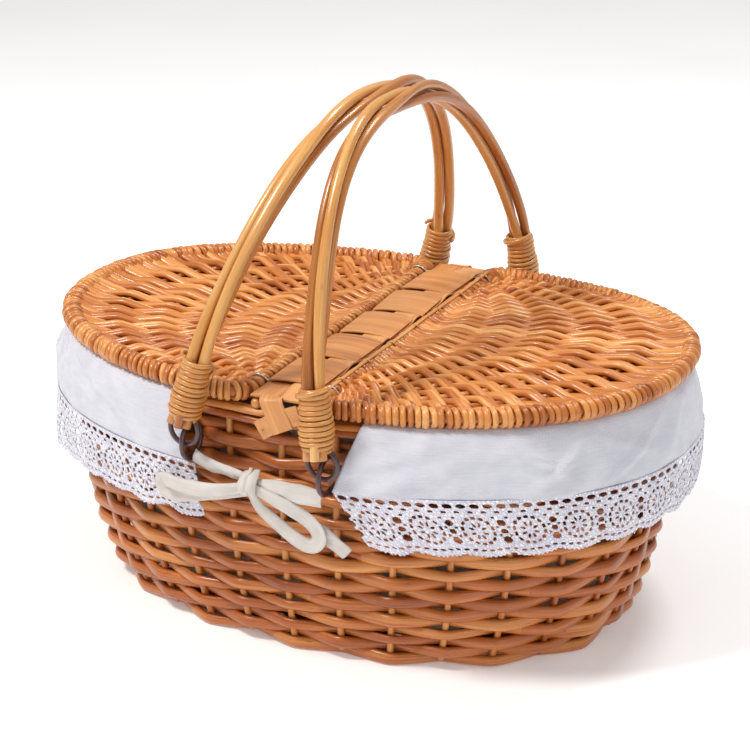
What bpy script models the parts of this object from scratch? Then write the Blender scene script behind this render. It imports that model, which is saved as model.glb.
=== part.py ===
"""An oval willow picnic basket with two hinged lids, two swinging handles and a folded-over cloth liner.

Metres, +Z up. The origin is at the middle of the base, on the surface the basket stands on. +X runs
along the long axis, and -Y is the front. Each lid turns on a bar beside the bridge that crosses the
basket, and each handle swings on a pair of wire rings that hang in rings threaded through the side wall.
"""

import math

import bmesh
import bpy
import numpy as np
from mathutils import Vector

# Plan shape: every level of the basket is the same kind of rounded oval.
OVAL_POWER = 2.25
LID_LENGTH_HALF = 0.200
LID_DEPTH_HALF = 0.138
BASE_LENGTH_HALF = 0.168
BASE_DEPTH_HALF = 0.118
RIM_LENGTH_HALF = 0.193
RIM_DEPTH_HALF = 0.134
WALL_CURVE = 3.0

# Side wall, base and border.
WALL_TOP = 0.148
WALL_THICKNESS = 0.008
BASE_THICKNESS = 0.008
BORDER_TOP = 0.1565
BORDER_OUT = 0.001
END_RISE = 0.005
GAP = 0.0003
WALL_LEVELS = (0.0, BASE_THICKNESS, 0.028, 0.060, 0.100, WALL_TOP)
ROUND_STEPS = 56

# Cloth liner and its trim.
CLOTH = 0.0012
FLAP_BOTTOM = 0.120
LACE_BOTTOM = 0.086
LINER_GAP = 0.0008
LINER_FLOOR = BASE_THICKNESS + LINER_GAP
FLAP_EDGE_LEFT = (-0.059, -0.0566)
LACE_EDGE_LEFT = (-0.0495, -0.0425)
FLAP_EDGE_RIGHT = (0.053, 0.0400)
LACE_EDGE_RIGHT = (0.0400, 0.064)

# Ribbon bow at the front and the back.
KNOT_X = -0.013
KNOT_Z = 0.116
KNOT_SIZE = (0.012, 0.010, 0.014)
KNOT_GAP = 0.0015
BOW_OUT = 0.0185
RIBBON_WIDTH = 0.008
RIBBON_THICKNESS = 0.0014
BOW_LOOP_WIDTHS = (0.006, 0.012, 0.016, 0.012)
BOW_LOOP_DEPTHS = (0.004, 0.007, 0.008, 0.004)

# Lids.
LID_RIM_RADIUS = 0.0055
LID_RIM_Z = 0.1645
HINGE_X = 0.0232
HINGE_BAR_RADIUS = 0.004
PANEL_THICKNESS = 0.007
PANEL_START = HINGE_X + 0.007
LID_CORNER = 0.012
LID_LEAD = 0.002
PANEL_CROWN = {"left": -0.003, "right": 0.0025}

# Bridge between the lids.
RAIL_X = 0.0142
RAIL_RADIUS = 0.0032
RAIL_Z = 0.1600
SPLINT = 0.0012
SPLINT_Z = 0.1652
CROSS_ARCH = 0.0016
BRIDGE_HALF_WIDTH = 0.0172
BRIDGE_HALF_LENGTH = 0.133
CROSS_SPLINTS = 5
CROSS_WIDTH = 0.021
CROSS_PITCH = 0.046
TAIL_WIDTH = 0.018
TAIL_BOTTOM = 0.150
HINGE_LOOP_Y = (-0.112, 0.112)
HINGE_WIRE = 0.0007
HINGE_SLACK = 0.00035
HINGE_NOTCH_X = 0.0090
HINGE_NOTCH_HALF = 0.0015

# Handles: the joint axis by its front and back ends (x, z), the lean from upright at rest, towards
# +X, and how far the top of the arch is bent towards the back.
HANDLES = {
    "left": ((-0.0545, 0.1425), (-0.0325, 0.1435), math.radians(14.2), 0.006),
    "right": ((0.0350, 0.1368), (0.0395, 0.1456), math.radians(-5.3), -0.0155),
}
HANDLE_HALF_SPAN = 0.1510
HANDLE_HEIGHT = 0.1752
HANDLE_FOOT = 0.044
HANDLE_FOOT_LEAN = 0.12
HANDLE_ACROSS_POWER = 2.6
HANDLE_UP_POWER = 1.2
ROD_RADIUS = 0.0033
ROD_OFFSET = 0.0041
RODS = 3
ROD_TURNS = 1.0
ROD_STEPS = 40
ROD_END = 0.0125
BINDING = (0.0060, 0.0460)
BINDING_INNER = 0.0083
BINDING_OUTER = 0.0100
BINDING_TURNS = 6
BINDING_STEPS = 10

# Wire rings.
RING_WIRE = 0.0015
UPPER_RING_RADIUS = 0.0095
LOWER_RING_RADIUS = 0.0110
LOWER_RING_DROP = 0.0095
LOWER_RING_OUT = 0.0077
RING_PLANE_Y = 0.1460
RING_STEPS = 16
RING_SIDES = 6
RING_CLEARANCE = 0.0005

X = Vector((1.0, 0.0, 0.0))
Y = Vector((0.0, 1.0, 0.0))
Z = Vector((0.0, 0.0, 1.0))

WILLOW = (0.60, 0.28, 0.09)
LIGHT_WILLOW = (0.72, 0.42, 0.18)
SPLINT_WOOD = (0.68, 0.36, 0.15)
COTTON = (0.86, 0.86, 0.90)
RIBBON = (0.88, 0.85, 0.80)
DARK_WIRE = (0.07, 0.035, 0.045)
STEEL_WIRE = (0.55, 0.52, 0.48)


def material(name, colour, roughness, metallic=0.0):
    made = bpy.data.materials.new(name)
    made.use_nodes = True
    shader = made.node_tree.nodes["Principled BSDF"]
    shader.inputs["Base Color"].default_value = (*colour, 1.0)
    shader.inputs["Roughness"].default_value = roughness
    shader.inputs["Metallic"].default_value = metallic
    return made


def solid(name, points, faces, finish, origin=(0.0, 0.0, 0.0), parent=None):
    """An object from points and faces in world space, with its own origin at the given point."""
    origin = Vector(origin)
    mesh = bpy.data.meshes.new(name)
    mesh.from_pydata([Vector(point) - origin for point in points], [], faces)
    shape = bmesh.new()
    shape.from_mesh(mesh)
    bmesh.ops.recalc_face_normals(shape, faces=shape.faces)
    shape.to_mesh(mesh)
    shape.free()
    mesh.shade_smooth()
    mesh.set_sharp_from_angle(angle=math.radians(40))
    mesh.materials.append(finish)
    made = bpy.data.objects.new(name, mesh)
    bpy.context.scene.collection.objects.link(made)
    made.location = origin
    if parent is not None:
        made.parent = parent
        made.location = origin - parent.location
    return made


def pivot(name, location):
    empty = bpy.data.objects.new(name, None)
    empty.empty_display_size = 0.02
    empty.location = location
    bpy.context.scene.collection.objects.link(empty)
    return empty


def loft_faces(sections, sides, closed):
    """Quads between consecutive closed sections, with end caps unless the last joins the first."""
    faces = []
    for row in range(sections if closed else sections - 1):
        here = row * sides
        after = ((row + 1) % sections) * sides
        for side in range(sides):
            beside = (side + 1) % sides
            faces.append((here + side, here + beside, after + beside, after + side))
    if not closed:
        faces.append(tuple(range(sides)))
        faces.append(tuple(range((sections - 1) * sides, sections * sides)))
    return faces


def loft(name, sections, finish, closed=False, **place):
    points = [point for section in sections for point in section]
    return solid(name, points, loft_faces(len(sections), len(sections[0]), closed), finish, **place)


# Oval geometry.


def oval_front(a, b, x):
    """How far the oval with half axes a and b reaches from the long axis at x."""
    return b * (1.0 - abs(x / a) ** OVAL_POWER) ** (1.0 / OVAL_POWER)


def oval_arc(a, b, start, count, closed=False):
    """Points evenly spaced along the oval, anticlockwise from the front at x = start round the +X end."""
    reach = math.pi if closed else math.acos(math.copysign(abs(start / a) ** (OVAL_POWER / 2), start))
    angle = np.linspace(-reach, reach, 2001)
    x = a * np.sign(np.cos(angle)) * np.abs(np.cos(angle)) ** (2.0 / OVAL_POWER)
    y = b * np.sign(np.sin(angle)) * np.abs(np.sin(angle)) ** (2.0 / OVAL_POWER)
    length = np.concatenate([[0.0], np.cumsum(np.hypot(np.diff(x), np.diff(y)))])
    at = np.linspace(0.0, length[-1], count + 1 if closed else count)
    places = np.stack([np.interp(at, length, x), np.interp(at, length, y)], axis=1)
    return places[:-1] if closed else places


def rise(x):
    """How much the rim and the lids climb towards the two ends."""
    along = max(abs(x) - HINGE_X, 0.0) / (LID_LENGTH_HALF - HINGE_X)
    return END_RISE * along**1.5


def wall_axes(z):
    """Half axes of the side wall's outer face at height z."""
    spread = 1.0 - (1.0 - min(z / BORDER_TOP, 1.0)) ** WALL_CURVE
    a = BASE_LENGTH_HALF + (RIM_LENGTH_HALF - BASE_LENGTH_HALF) * spread
    b = BASE_DEPTH_HALF + (RIM_DEPTH_HALF - BASE_DEPTH_HALF) * spread
    return a, b


def lifted(x, y, z):
    """A point of the basket's side, raised with the rim towards the ends."""
    return Vector((x, y, z + rise(x) * min(z / BORDER_TOP, 1.0) ** 2))


def wall_loop(out, z):
    """A closed loop round the basket at height z, the given distance outside the wall's outer face."""
    a, b = wall_axes(z)
    return [lifted(x, y, z) for x, y in oval_arc(a + out, b + out, 0.0, ROUND_STEPS, closed=True)]


def ring_solid(name, profile, finish):
    """A solid of closed loops round the basket, one for each (out, z) of a closed profile."""
    return loft(name, [wall_loop(out, z) for out, z in profile], finish, closed=True)


# Basket body.


def make_wall(finish):
    outer = [(0.0, z) for z in WALL_LEVELS]
    inner = [(-WALL_THICKNESS, z) for z in reversed(WALL_LEVELS)]
    return ring_solid("side_wall", outer + inner, finish)


def make_border(finish):
    bottom = WALL_TOP + GAP
    inside = BORDER_OUT - 0.0095
    bevel = 0.0022
    profile = [
        (inside, bottom),
        (BORDER_OUT, bottom),
        (BORDER_OUT, BORDER_TOP - bevel),
        (BORDER_OUT - bevel, BORDER_TOP),
        (inside + bevel, BORDER_TOP),
        (inside, BORDER_TOP - bevel),
    ]
    return ring_solid("rim_border", profile, finish)


def make_base(finish):
    out = -WALL_THICKNESS - GAP
    levels = [wall_loop(out, z) for z in (0.0, BASE_THICKNESS)]
    return loft("base", levels, finish)


def make_liner_bag(finish):
    outer = -WALL_THICKNESS - LINER_GAP
    inner = outer - CLOTH
    heights = (LINER_FLOOR, *WALL_LEVELS[2:4], WALL_TOP)
    levels = [(outer, z) for z in heights]
    levels += [(inner, z) for z in reversed(heights[1:])]
    levels.append((inner, LINER_FLOOR + CLOTH))
    return loft("liner_bag", [wall_loop(out, z) for out, z in levels], finish)


def side_arc(side, out, z, edge, count):
    """Points of a flap round one end, between its front and back edges at x = edge."""
    a, b = wall_axes(z)
    sign = 1.0 if side == "right" else -1.0
    return [lifted(sign * x, sign * y, z) for x, y in oval_arc(a + out, b + out, sign * edge, count)]


def sheet_round_end(name, side, middle, edges, count, finish):
    """A sheet of cloth round one end: middle is its profile of (out, z), thickened to both sides."""
    line = [Vector(place) for place in middle]
    normals = []
    for index in range(len(line)):
        along = line[min(index + 1, len(line) - 1)] - line[max(index - 1, 0)]
        normals.append(Vector((along.y, -along.x)).normalized() * CLOTH / 2)
    outer = [(place + normal, edge) for place, normal, edge in zip(line, normals, edges)]
    inner = [(place - normal, edge) for place, normal, edge in zip(line, normals, edges)]
    profile = outer + inner[::-1]
    arcs = [side_arc(side, place.x, place.y, edge, count) for place, edge in profile]
    sections = [[arc[step] for arc in arcs] for step in range(count)]
    return loft(name, sections, finish)


def make_flap(side, edge, finish):
    """The liner's flap: up inside the border, over it and down outside, standing off the wall."""
    inside = -WALL_THICKNESS - CLOTH - LINER_GAP
    over = BORDER_TOP + LINER_GAP + GAP
    middle = [
        (inside, WALL_TOP + 0.001),
        (inside, over - 0.0012),
        (inside + 0.0015, over),
        (BORDER_OUT, over),
        (0.0030, over - 0.0025),
        (0.0047, 0.145),
        (0.0080, 0.131),
        (0.0115, FLAP_BOTTOM),
    ]
    top, bottom = edge
    drop = over - FLAP_BOTTOM
    edges = []
    for out, z in middle:
        share = (over - min(z, over)) / drop if out > BORDER_OUT else 0.0
        edges.append(top + (bottom - top) * share)
    return sheet_round_end(f"liner_flap_{side}", side, middle, edges, 26, finish)


def make_lace(side, edge, finish):
    top = FLAP_BOTTOM - 0.0016
    middle = [(0.0122, top), (0.0132, (top + LACE_BOTTOM) / 2), (0.0130, LACE_BOTTOM)]
    start, end = edge
    edges = [start, (start + end) / 2, end]
    return sheet_round_end(f"lace_{side}", side, middle, edges, 30, finish)


# Ribbon bows. The back bow is the front one mirrored in the long axis.


def bow_point(x, z, out, front):
    a, b = wall_axes(z)
    y = oval_front(a + out, b + out, x)
    return Vector((x, -y if front else y, z))


def strip(name, path, width, thickness, front, finish):
    """A closed strip along a path of (x, z, out), with its width upright and its thickness outwards."""
    sections = []
    for index, (x, z, out) in enumerate(path):
        before = path[max(index - 1, 0)]
        after = path[min(index + 1, len(path) - 1)]
        along = Vector((after[0] - before[0], after[1] - before[1])).normalized()
        across = Vector((-along.y, along.x))
        size = width[index] / 2
        depth = thickness[index] / 2
        corners = ((size, -depth), (size, depth), (-size, depth), (-size, -depth))
        section = []
        for side, proud in corners:
            section.append(bow_point(x + across.x * side, z + across.y * side, out + proud, front))
        sections.append(section)
    return loft(name, sections, finish)


def make_bow(face, finish):
    front = face == "front"
    size_x, size_y, size_z = KNOT_SIZE
    knot = [(KNOT_X + step * size_x / 2, KNOT_Z, BOW_OUT) for step in (-1, 0, 1)]
    round_ends = np.array([0.7, 1.0, 0.7])
    strip(f"bow_knot_{face}", knot, size_z * round_ends, size_y * round_ends, front, finish)
    left = KNOT_X - size_x / 2 - KNOT_GAP
    right = KNOT_X + size_x / 2 + KNOT_GAP
    ties = {
        "left": [(left, KNOT_Z + 0.003, 0.0165), (-0.034, 0.1185, 0.0145), (-0.0475, 0.1185, 0.0125)],
        "right": [(right, KNOT_Z + 0.003, 0.0165), (0.014, 0.1145, 0.0145), (0.0375, 0.1100, 0.0125)],
    }
    loops = {
        "left": [
            (left, 0.1115, 0.0200),
            (-0.0420, 0.1050, 0.0200),
            (-0.0640, 0.1010, 0.0200),
            (-0.0755, 0.1005, 0.0200),
        ],
        "right": [
            (right, 0.1095, 0.0195),
            (0.0080, 0.0985, 0.0125),
            (0.0200, 0.0880, 0.0095),
            (0.0275, 0.0815, 0.0085),
        ],
    }
    for side, path in ties.items():
        strip(f"bow_tie_{side}_{face}", path, [RIBBON_WIDTH] * 3, [RIBBON_THICKNESS] * 3, front, finish)
    for side, path in loops.items():
        strip(f"bow_loop_{side}_{face}", path, BOW_LOOP_WIDTHS, BOW_LOOP_DEPTHS, front, finish)
    tail = [(0.0300, 0.0975, 0.0060), (0.0380, 0.0900, 0.0055), (0.0450, 0.0830, 0.0050)]
    strip(f"bow_tail_{face}", tail, [RIBBON_WIDTH] * 3, [RIBBON_THICKNESS] * 3, front, finish)


# Bridge across the middle.


def tube_sections(path, radius, sides, closed, up):
    """Round sections square to a path, measured from a fixed direction that the path never follows."""
    count = len(path)
    sections = []
    for index, centre in enumerate(path):
        before = path[index - 1] if closed or index else centre
        after = path[(index + 1) % count] if closed or index < count - 1 else centre
        along = (after - before).normalized()
        across = along.cross(up).normalized()
        lift = across.cross(along)
        turn = [2.0 * math.pi * side / sides for side in range(sides)]
        sections.append([centre + radius * (math.cos(t) * across + math.sin(t) * lift) for t in turn])
    return sections


def tube(name, path, radius, sides, finish, closed=False, up=Z, **place):
    path = [Vector(point) for point in path]
    return loft(name, tube_sections(path, radius, sides, closed, up), finish, closed=closed, **place)


def splint_outline():
    """A long splint's outline on the +X side, notched where the hinge loops come up past it."""
    outline = [(GAP, -BRIDGE_HALF_LENGTH)]
    outline.append((BRIDGE_HALF_WIDTH, -BRIDGE_HALF_LENGTH))
    for y in HINGE_LOOP_Y:
        notch = y - HINGE_NOTCH_HALF, y + HINGE_NOTCH_HALF
        outline += [(BRIDGE_HALF_WIDTH, notch[0]), (HINGE_NOTCH_X, notch[0])]
        outline += [(HINGE_NOTCH_X, notch[1]), (BRIDGE_HALF_WIDTH, notch[1])]
    outline.append((BRIDGE_HALF_WIDTH, BRIDGE_HALF_LENGTH))
    outline.append((GAP, BRIDGE_HALF_LENGTH))
    return outline


def make_bridge(wood, rod):
    for side, sign in (("left", -1.0), ("right", 1.0)):
        reach = BRIDGE_HALF_LENGTH
        ends = [(sign * RAIL_X, -reach, RAIL_Z), (sign * RAIL_X, reach, RAIL_Z)]
        tube(f"bridge_rail_{side}", ends, RAIL_RADIUS, 8, rod)
        outline = splint_outline()
        sections = [[(sign * x, y, SPLINT_Z + up) for x, y in outline] for up in (0.0, SPLINT)]
        loft(f"bridge_splint_{side}", sections, wood)
    for number in range(CROSS_SPLINTS):
        middle = (number - (CROSS_SPLINTS - 1) / 2) * CROSS_PITCH
        sections = []
        for x in np.linspace(-BRIDGE_HALF_WIDTH, BRIDGE_HALF_WIDTH, 7):
            z = SPLINT_Z + SPLINT + GAP + CROSS_ARCH * (1.0 - (x / BRIDGE_HALF_WIDTH) ** 2)
            front, back = middle - CROSS_WIDTH / 2, middle + CROSS_WIDTH / 2
            sections.append([(x, front, z), (x, back, z), (x, back, z + SPLINT), (x, front, z + SPLINT)])
        loft(f"bridge_cross_{number + 1}", sections, wood)
    for face, sign in (("front", -1.0), ("back", 1.0)):
        make_tail(face, sign, wood)


def make_tail(face, sign, wood):
    """The splint's end, folded down over the border."""
    inner = RIM_DEPTH_HALF + BORDER_OUT + 2 * GAP
    top = SPLINT_Z
    start = BRIDGE_HALF_LENGTH + GAP
    outline = [
        (start, top),
        (inner, top),
        (inner, TAIL_BOTTOM),
        (inner + SPLINT, TAIL_BOTTOM),
        (inner + SPLINT, top + SPLINT),
        (start, top + SPLINT),
    ]
    sections = [[(x, sign * y, z) for y, z in outline] for x in (-TAIL_WIDTH / 2, TAIL_WIDTH / 2)]
    loft(f"bridge_tail_{face}", sections, wood)


def belt(centre_a, radius_a, centre_b, radius_b, steps):
    """A closed path like a belt round two circles in the X-Z plane."""
    apart = math.hypot(centre_b[0] - centre_a[0], centre_b[1] - centre_a[1])
    heading = math.atan2(centre_b[1] - centre_a[1], centre_b[0] - centre_a[0])
    touch = math.acos((radius_a - radius_b) / apart)
    path = []
    for angle in np.linspace(heading + touch, heading - touch + 2.0 * math.pi, steps):
        path.append((centre_a[0] + radius_a * math.cos(angle), centre_a[1] + radius_a * math.sin(angle)))
    for angle in np.linspace(heading - touch, heading + touch, steps):
        path.append((centre_b[0] + radius_b * math.cos(angle), centre_b[1] + radius_b * math.sin(angle)))
    return path


def make_hinge_loops(finish):
    slack = HINGE_SLACK + HINGE_WIRE
    for side, sign in (("left", -1.0), ("right", 1.0)):
        bar = (sign * HINGE_X, LID_RIM_Z)
        rail = (sign * RAIL_X, RAIL_Z)
        path = belt(bar, HINGE_BAR_RADIUS + slack, rail, RAIL_RADIUS + slack, 8)
        for face, y in zip(("front", "back"), HINGE_LOOP_Y):
            points = [(x, y, z) for x, z in path]
            tube(f"hinge_loop_{side}_{face}", points, HINGE_WIRE, 4, finish, closed=True, up=Y)


# Lids.


def lid_outline(sign, inset, start, count):
    """The lid's D shape without its straight side: from the front corner round the end to the back corner."""
    corner = LID_CORNER
    a = LID_LENGTH_HALF - inset
    b = LID_DEPTH_HALF - inset
    shoulder = start + corner
    arc = oval_arc(a, b, shoulder, count)
    steps = 4
    top = oval_front(a, b, shoulder)
    fillet = [(start, top - corner - LID_LEAD)]
    for step in range(steps):
        angle = 0.5 * math.pi * step / steps
        fillet.append((shoulder - corner * math.cos(angle), top - corner + corner * math.sin(angle)))
    front = [(x, -y) for x, y in fillet]
    back = [(x, y) for x, y in reversed(fillet)]
    return [(sign * x, y) for x, y in front + [tuple(place) for place in arc] + back]


def make_lid(side, parent, axis, rod, weave):
    sign = -1.0 if side == "left" else 1.0
    place = {"origin": axis, "parent": parent}
    rim = lid_outline(sign, LID_RIM_RADIUS, HINGE_X, 30)
    rim_path = [Vector((x, y, LID_RIM_Z + rise(x))) for x, y in rim]
    tube(f"lid_{side}_rim", rim_path, LID_RIM_RADIUS, 6, rod, **place)
    end = abs(rim[0][1]) - GAP
    ends = [(sign * HINGE_X, -end, LID_RIM_Z), (sign * HINGE_X, end, LID_RIM_Z)]
    tube(f"lid_{side}_hinge_bar", ends, HINGE_BAR_RADIUS, 8, rod, **place)
    inset = 2 * LID_RIM_RADIUS + GAP
    outline = lid_outline(sign, inset, PANEL_START, 30)
    middle = (sign * (PANEL_START + LID_LENGTH_HALF - inset) / 2, 0.0)
    bottom = LID_RIM_Z - PANEL_THICKNESS / 2
    top = bottom + PANEL_THICKNESS
    levels = [(1.0, bottom), (1.0, top)]
    levels += [(shrink, top + PANEL_CROWN[side] * (1.0 - shrink**2)) for shrink in (0.7, 0.35)]
    sections = []
    for shrink, z in levels:
        section = []
        for x, y in outline:
            x = middle[0] + shrink * (x - middle[0])
            section.append((x, y * shrink, z + rise(x)))
        sections.append(section)
    loft(f"lid_{side}_panel", sections, weave, **place)


# Handles.


def handle_frame(side):
    """The joint's place, its axis, and the directions out along the handle and square to its plane."""
    (front_x, front_z), (back_x, back_z), lean, _ = HANDLES[side]
    origin = Vector(((front_x + back_x) / 2, 0.0, (front_z + back_z) / 2))
    axis = Vector((back_x - front_x, 2 * HANDLE_HALF_SPAN, back_z - front_z)).normalized()
    up = Vector((math.sin(lean), 0.0, math.cos(lean)))
    up = (up - up.dot(axis) * axis).normalized()
    return origin, axis, up, axis.cross(up)


def handle_path(side, count):
    """The arch's middle line as (across, up) from its front end over the top to its back end."""
    foot = HANDLE_HALF_SPAN - HANDLE_FOOT_LEAN * HANDLE_FOOT
    end = HANDLE_HALF_SPAN - HANDLE_FOOT_LEAN * ROD_END
    bend = HANDLES[side][3]
    curve = [(-end, ROD_END)]
    for angle in np.linspace(0.0, math.pi, 400):
        across = -foot * math.copysign(abs(math.cos(angle)) ** (2 / HANDLE_ACROSS_POWER), math.cos(angle))
        share = abs(math.sin(angle)) ** (2 / HANDLE_UP_POWER)
        curve.append((across + bend * share**2, HANDLE_FOOT + (HANDLE_HEIGHT - HANDLE_FOOT) * share))
    curve = np.array(curve + [(end, ROD_END)])
    length = np.concatenate([[0.0], np.cumsum(np.hypot(*np.diff(curve, axis=0).T))])
    at = np.linspace(0.0, length[-1], count)
    return np.stack([np.interp(at, length, curve[:, 0]), np.interp(at, length, curve[:, 1])], axis=1)


def rod_path(side, number, count):
    """One of the rods that are twisted round each other along the arch."""
    origin, axis, up, square = handle_frame(side)
    line = handle_path(side, count)
    path = []
    for index, (across, height) in enumerate(line):
        before = line[max(index - 1, 0)]
        after = line[min(index + 1, count - 1)]
        along = Vector(after - before).normalized()
        outward = along.x * up - along.y * axis
        turn = 2.0 * math.pi * (number / RODS + ROD_TURNS * index / (count - 1)) + math.pi / 2
        middle = origin + float(across) * axis + float(height) * up
        path.append(middle + ROD_OFFSET * (math.cos(turn) * square + math.sin(turn) * outward))
    return path


def circle(centre, radius, across, up, count):
    turns = [2.0 * math.pi * step / count for step in range(count)]
    return [centre + radius * (math.cos(t) * across + math.sin(t) * up) for t in turns]


def turned(name, profile, base, up, square, finish, **place):
    """A profile of (radius, height) turned about the line from base along up, closed with flat ends."""
    beside = up.cross(square)
    sections = [circle(base + height * up, radius, square, beside, BINDING_STEPS) for radius, height in profile]
    return loft(name, sections, finish, **place)


def binding_profile():
    """A cup of wound cane: turns up the outside, then down the bore to the floor that holds the ring."""
    low, high = BINDING
    profile = []
    for turn in range(BINDING_TURNS + 1):
        height = low + (high - low) * turn / BINDING_TURNS
        bulge = BINDING_OUTER - 0.0008 * turn / BINDING_TURNS
        profile.append((bulge - 0.0007, height))
        if turn < BINDING_TURNS:
            profile.append((bulge, height + (high - low) * 0.5 / BINDING_TURNS))
    profile.append((BINDING_INNER, high))
    profile.append((BINDING_INNER, ROD_END - 3 * GAP))
    return profile


def cutter(name, path, up):
    made = tube(name, path, RING_WIRE + RING_CLEARANCE, RING_SIDES, None, closed=True, up=up)
    made.hide_render = True
    made.display_type = "WIRE"
    return made


def bore(target, tool):
    cut = target.modifiers.new(f"bore_{tool.name}", "BOOLEAN")
    cut.operation = "DIFFERENCE"
    cut.solver = "EXACT"
    cut.object = tool


def make_handle(side, parent, rod, wrap, wire, wall):
    origin, axis, up, square = handle_frame(side)
    beside = axis.cross(Z).normalized()
    above = beside.cross(axis)
    place = {"origin": origin, "parent": parent}
    for number in range(RODS):
        path = rod_path(side, number, ROD_STEPS)
        tube(f"handle_{side}_rod_{number + 1}", path, ROD_RADIUS, 6, rod, up=square, **place)
    for face, sign in (("front", -1.0), ("back", 1.0)):
        end = origin + sign * HANDLE_HALF_SPAN * axis
        leg = (up - sign * HANDLE_FOOT_LEAN * axis).normalized()
        binding = turned(f"handle_{side}_binding_{face}", binding_profile(), end, leg, square, wrap, **place)
        centre = origin + sign * RING_PLANE_Y * axis
        upper = circle(centre, UPPER_RING_RADIUS, beside, above, RING_STEPS)
        tube(f"ring_upper_{side}_{face}", upper, RING_WIRE, RING_SIDES, wire, closed=True, up=axis, **place)
        bore(binding, cutter(f"eye_{side}_{face}", upper, axis))
        a, b = wall_axes(centre.z - LOWER_RING_DROP)
        out = oval_front(a, b, centre.x) + LOWER_RING_OUT
        centre = Vector((centre.x, sign * out, centre.z - LOWER_RING_DROP))
        lower = circle(centre, LOWER_RING_RADIUS, Y, Z, RING_STEPS)
        tube(f"ring_lower_{side}_{face}", lower, RING_WIRE, RING_SIDES, wire, closed=True, up=X)
        bore(wall, cutter(f"tunnel_{side}_{face}", lower, X))


def main():
    for existing in list(bpy.data.objects):
        bpy.data.objects.remove(existing)
    willow = material("willow", WILLOW, 0.45)
    light_willow = material("light_willow", LIGHT_WILLOW, 0.4)
    splint_wood = material("splint_wood", SPLINT_WOOD, 0.5)
    cotton = material("cotton", COTTON, 0.9)
    lace = material("lace", COTTON, 0.85)
    ribbon = material("ribbon", RIBBON, 0.8)
    dark_wire = material("dark_wire", DARK_WIRE, 0.3)
    steel_wire = material("steel_wire", STEEL_WIRE, 0.35, metallic=1.0)

    wall = make_wall(willow)
    make_border(willow)
    make_base(willow)
    make_liner_bag(cotton)
    make_flap("left", FLAP_EDGE_LEFT, cotton)
    make_flap("right", FLAP_EDGE_RIGHT, cotton)
    make_lace("left", LACE_EDGE_LEFT, lace)
    make_lace("right", LACE_EDGE_RIGHT, lace)
    for face in ("front", "back"):
        make_bow(face, ribbon)
    make_bridge(splint_wood, light_willow)
    make_hinge_loops(steel_wire)
    for side, sign in (("left", -1.0), ("right", 1.0)):
        axis = Vector((sign * HINGE_X, 0.0, LID_RIM_Z))
        make_lid(side, pivot(f"lid_{side}_axis", axis), axis, light_willow, willow)
        axis = handle_frame(side)[0]
        make_handle(side, pivot(f"handle_{side}_axis", axis), light_willow, light_willow, dark_wire, wall)


main()
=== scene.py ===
import math

import bpy
import numpy as np
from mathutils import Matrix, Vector


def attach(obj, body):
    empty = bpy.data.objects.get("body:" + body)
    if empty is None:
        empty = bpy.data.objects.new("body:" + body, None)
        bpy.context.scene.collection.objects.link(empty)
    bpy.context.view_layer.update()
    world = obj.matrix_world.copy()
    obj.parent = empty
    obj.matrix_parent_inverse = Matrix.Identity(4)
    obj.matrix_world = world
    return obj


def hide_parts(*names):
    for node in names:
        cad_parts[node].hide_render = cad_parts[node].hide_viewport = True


# The looks of an oval willow picnic basket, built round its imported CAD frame.
# Metres, +Z up, -Y is the front. Willow, cane, cloth and wire are all modelled strand by strand.

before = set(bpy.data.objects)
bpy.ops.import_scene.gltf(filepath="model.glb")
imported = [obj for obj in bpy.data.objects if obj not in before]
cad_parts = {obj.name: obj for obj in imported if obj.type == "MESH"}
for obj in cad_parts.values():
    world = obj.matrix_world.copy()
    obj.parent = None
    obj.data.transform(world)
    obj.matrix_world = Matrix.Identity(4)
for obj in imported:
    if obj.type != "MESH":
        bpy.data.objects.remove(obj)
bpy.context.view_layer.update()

# Sizes shared with the CAD part.
OVAL_POWER = 2.25
LID_HALF = (0.200, 0.138)
BASE_HALF = (0.168, 0.118)
RIM_HALF = (0.193, 0.134)
MIDDLE_HALF = (0.185, 0.130)
FACING_HALF = (0.190, 0.132)
WALL_CURVE = 3.0
BORDER_TOP = 0.1565
END_RISE = 0.005
HINGE_X = 0.0232
LID_RIM_Z = 0.1645
LID_RIM_RADIUS = 0.0055
LID_CORNER = 0.012
LID_LEAD = 0.002
RAIL_X = 0.0142
RAIL_Z = 0.160
HINGE_LOOP_Y = (-0.112, 0.112)
CROWN = {"left": -0.0035, "right": 0.0035}
# Handles: the front and back ends (x, z) of the joint axis, the lean and how far the top is bent back.
HANDLES = {
    "left": ((-0.0545, 0.1425), (-0.0325, 0.1435), math.radians(14.2), 0.006),
    "right": ((0.0350, 0.1368), (0.0395, 0.1456), math.radians(-5.3), -0.0155),
}
HANDLE_HALF_SPAN = 0.1510
HANDLE_HEIGHT = 0.1752
HANDLE_FOOT = 0.044
HANDLE_FOOT_LEAN = 0.12
HANDLE_ACROSS_POWER = 2.6
HANDLE_UP_POWER = 1.2
RING_PLANE_Y = 0.146
UPPER_RING = 0.0095
LOWER_RING = 0.011
LOWER_RING_DROP = 0.0095
LOWER_RING_OUT = 0.0077
FLAP_BOTTOM = 0.120
LACE_BOTTOM = 0.086
KNOT = (-0.0088, 0.1185, 0.0185)

SIDES = {"left": -1.0, "right": 1.0}
FACES = {"front": -1.0, "back": 1.0}
X = np.array((1.0, 0.0, 0.0))
Y = np.array((0.0, 1.0, 0.0))
Z = np.array((0.0, 0.0, 1.0))
TURN = 2.0 * math.pi


# Small array helpers.


def unit(v):
    return v / np.maximum(np.linalg.norm(v, axis=-1, keepdims=True), 1e-12)


def stack(*columns):
    return np.stack(np.broadcast_arrays(*[np.asarray(c, float) for c in columns]), axis=-1)


def heading(path, closed=False):
    if closed:
        return unit(np.roll(path, -1, 0) - np.roll(path, 1, 0))
    return unit(np.gradient(path, axis=0))


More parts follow.
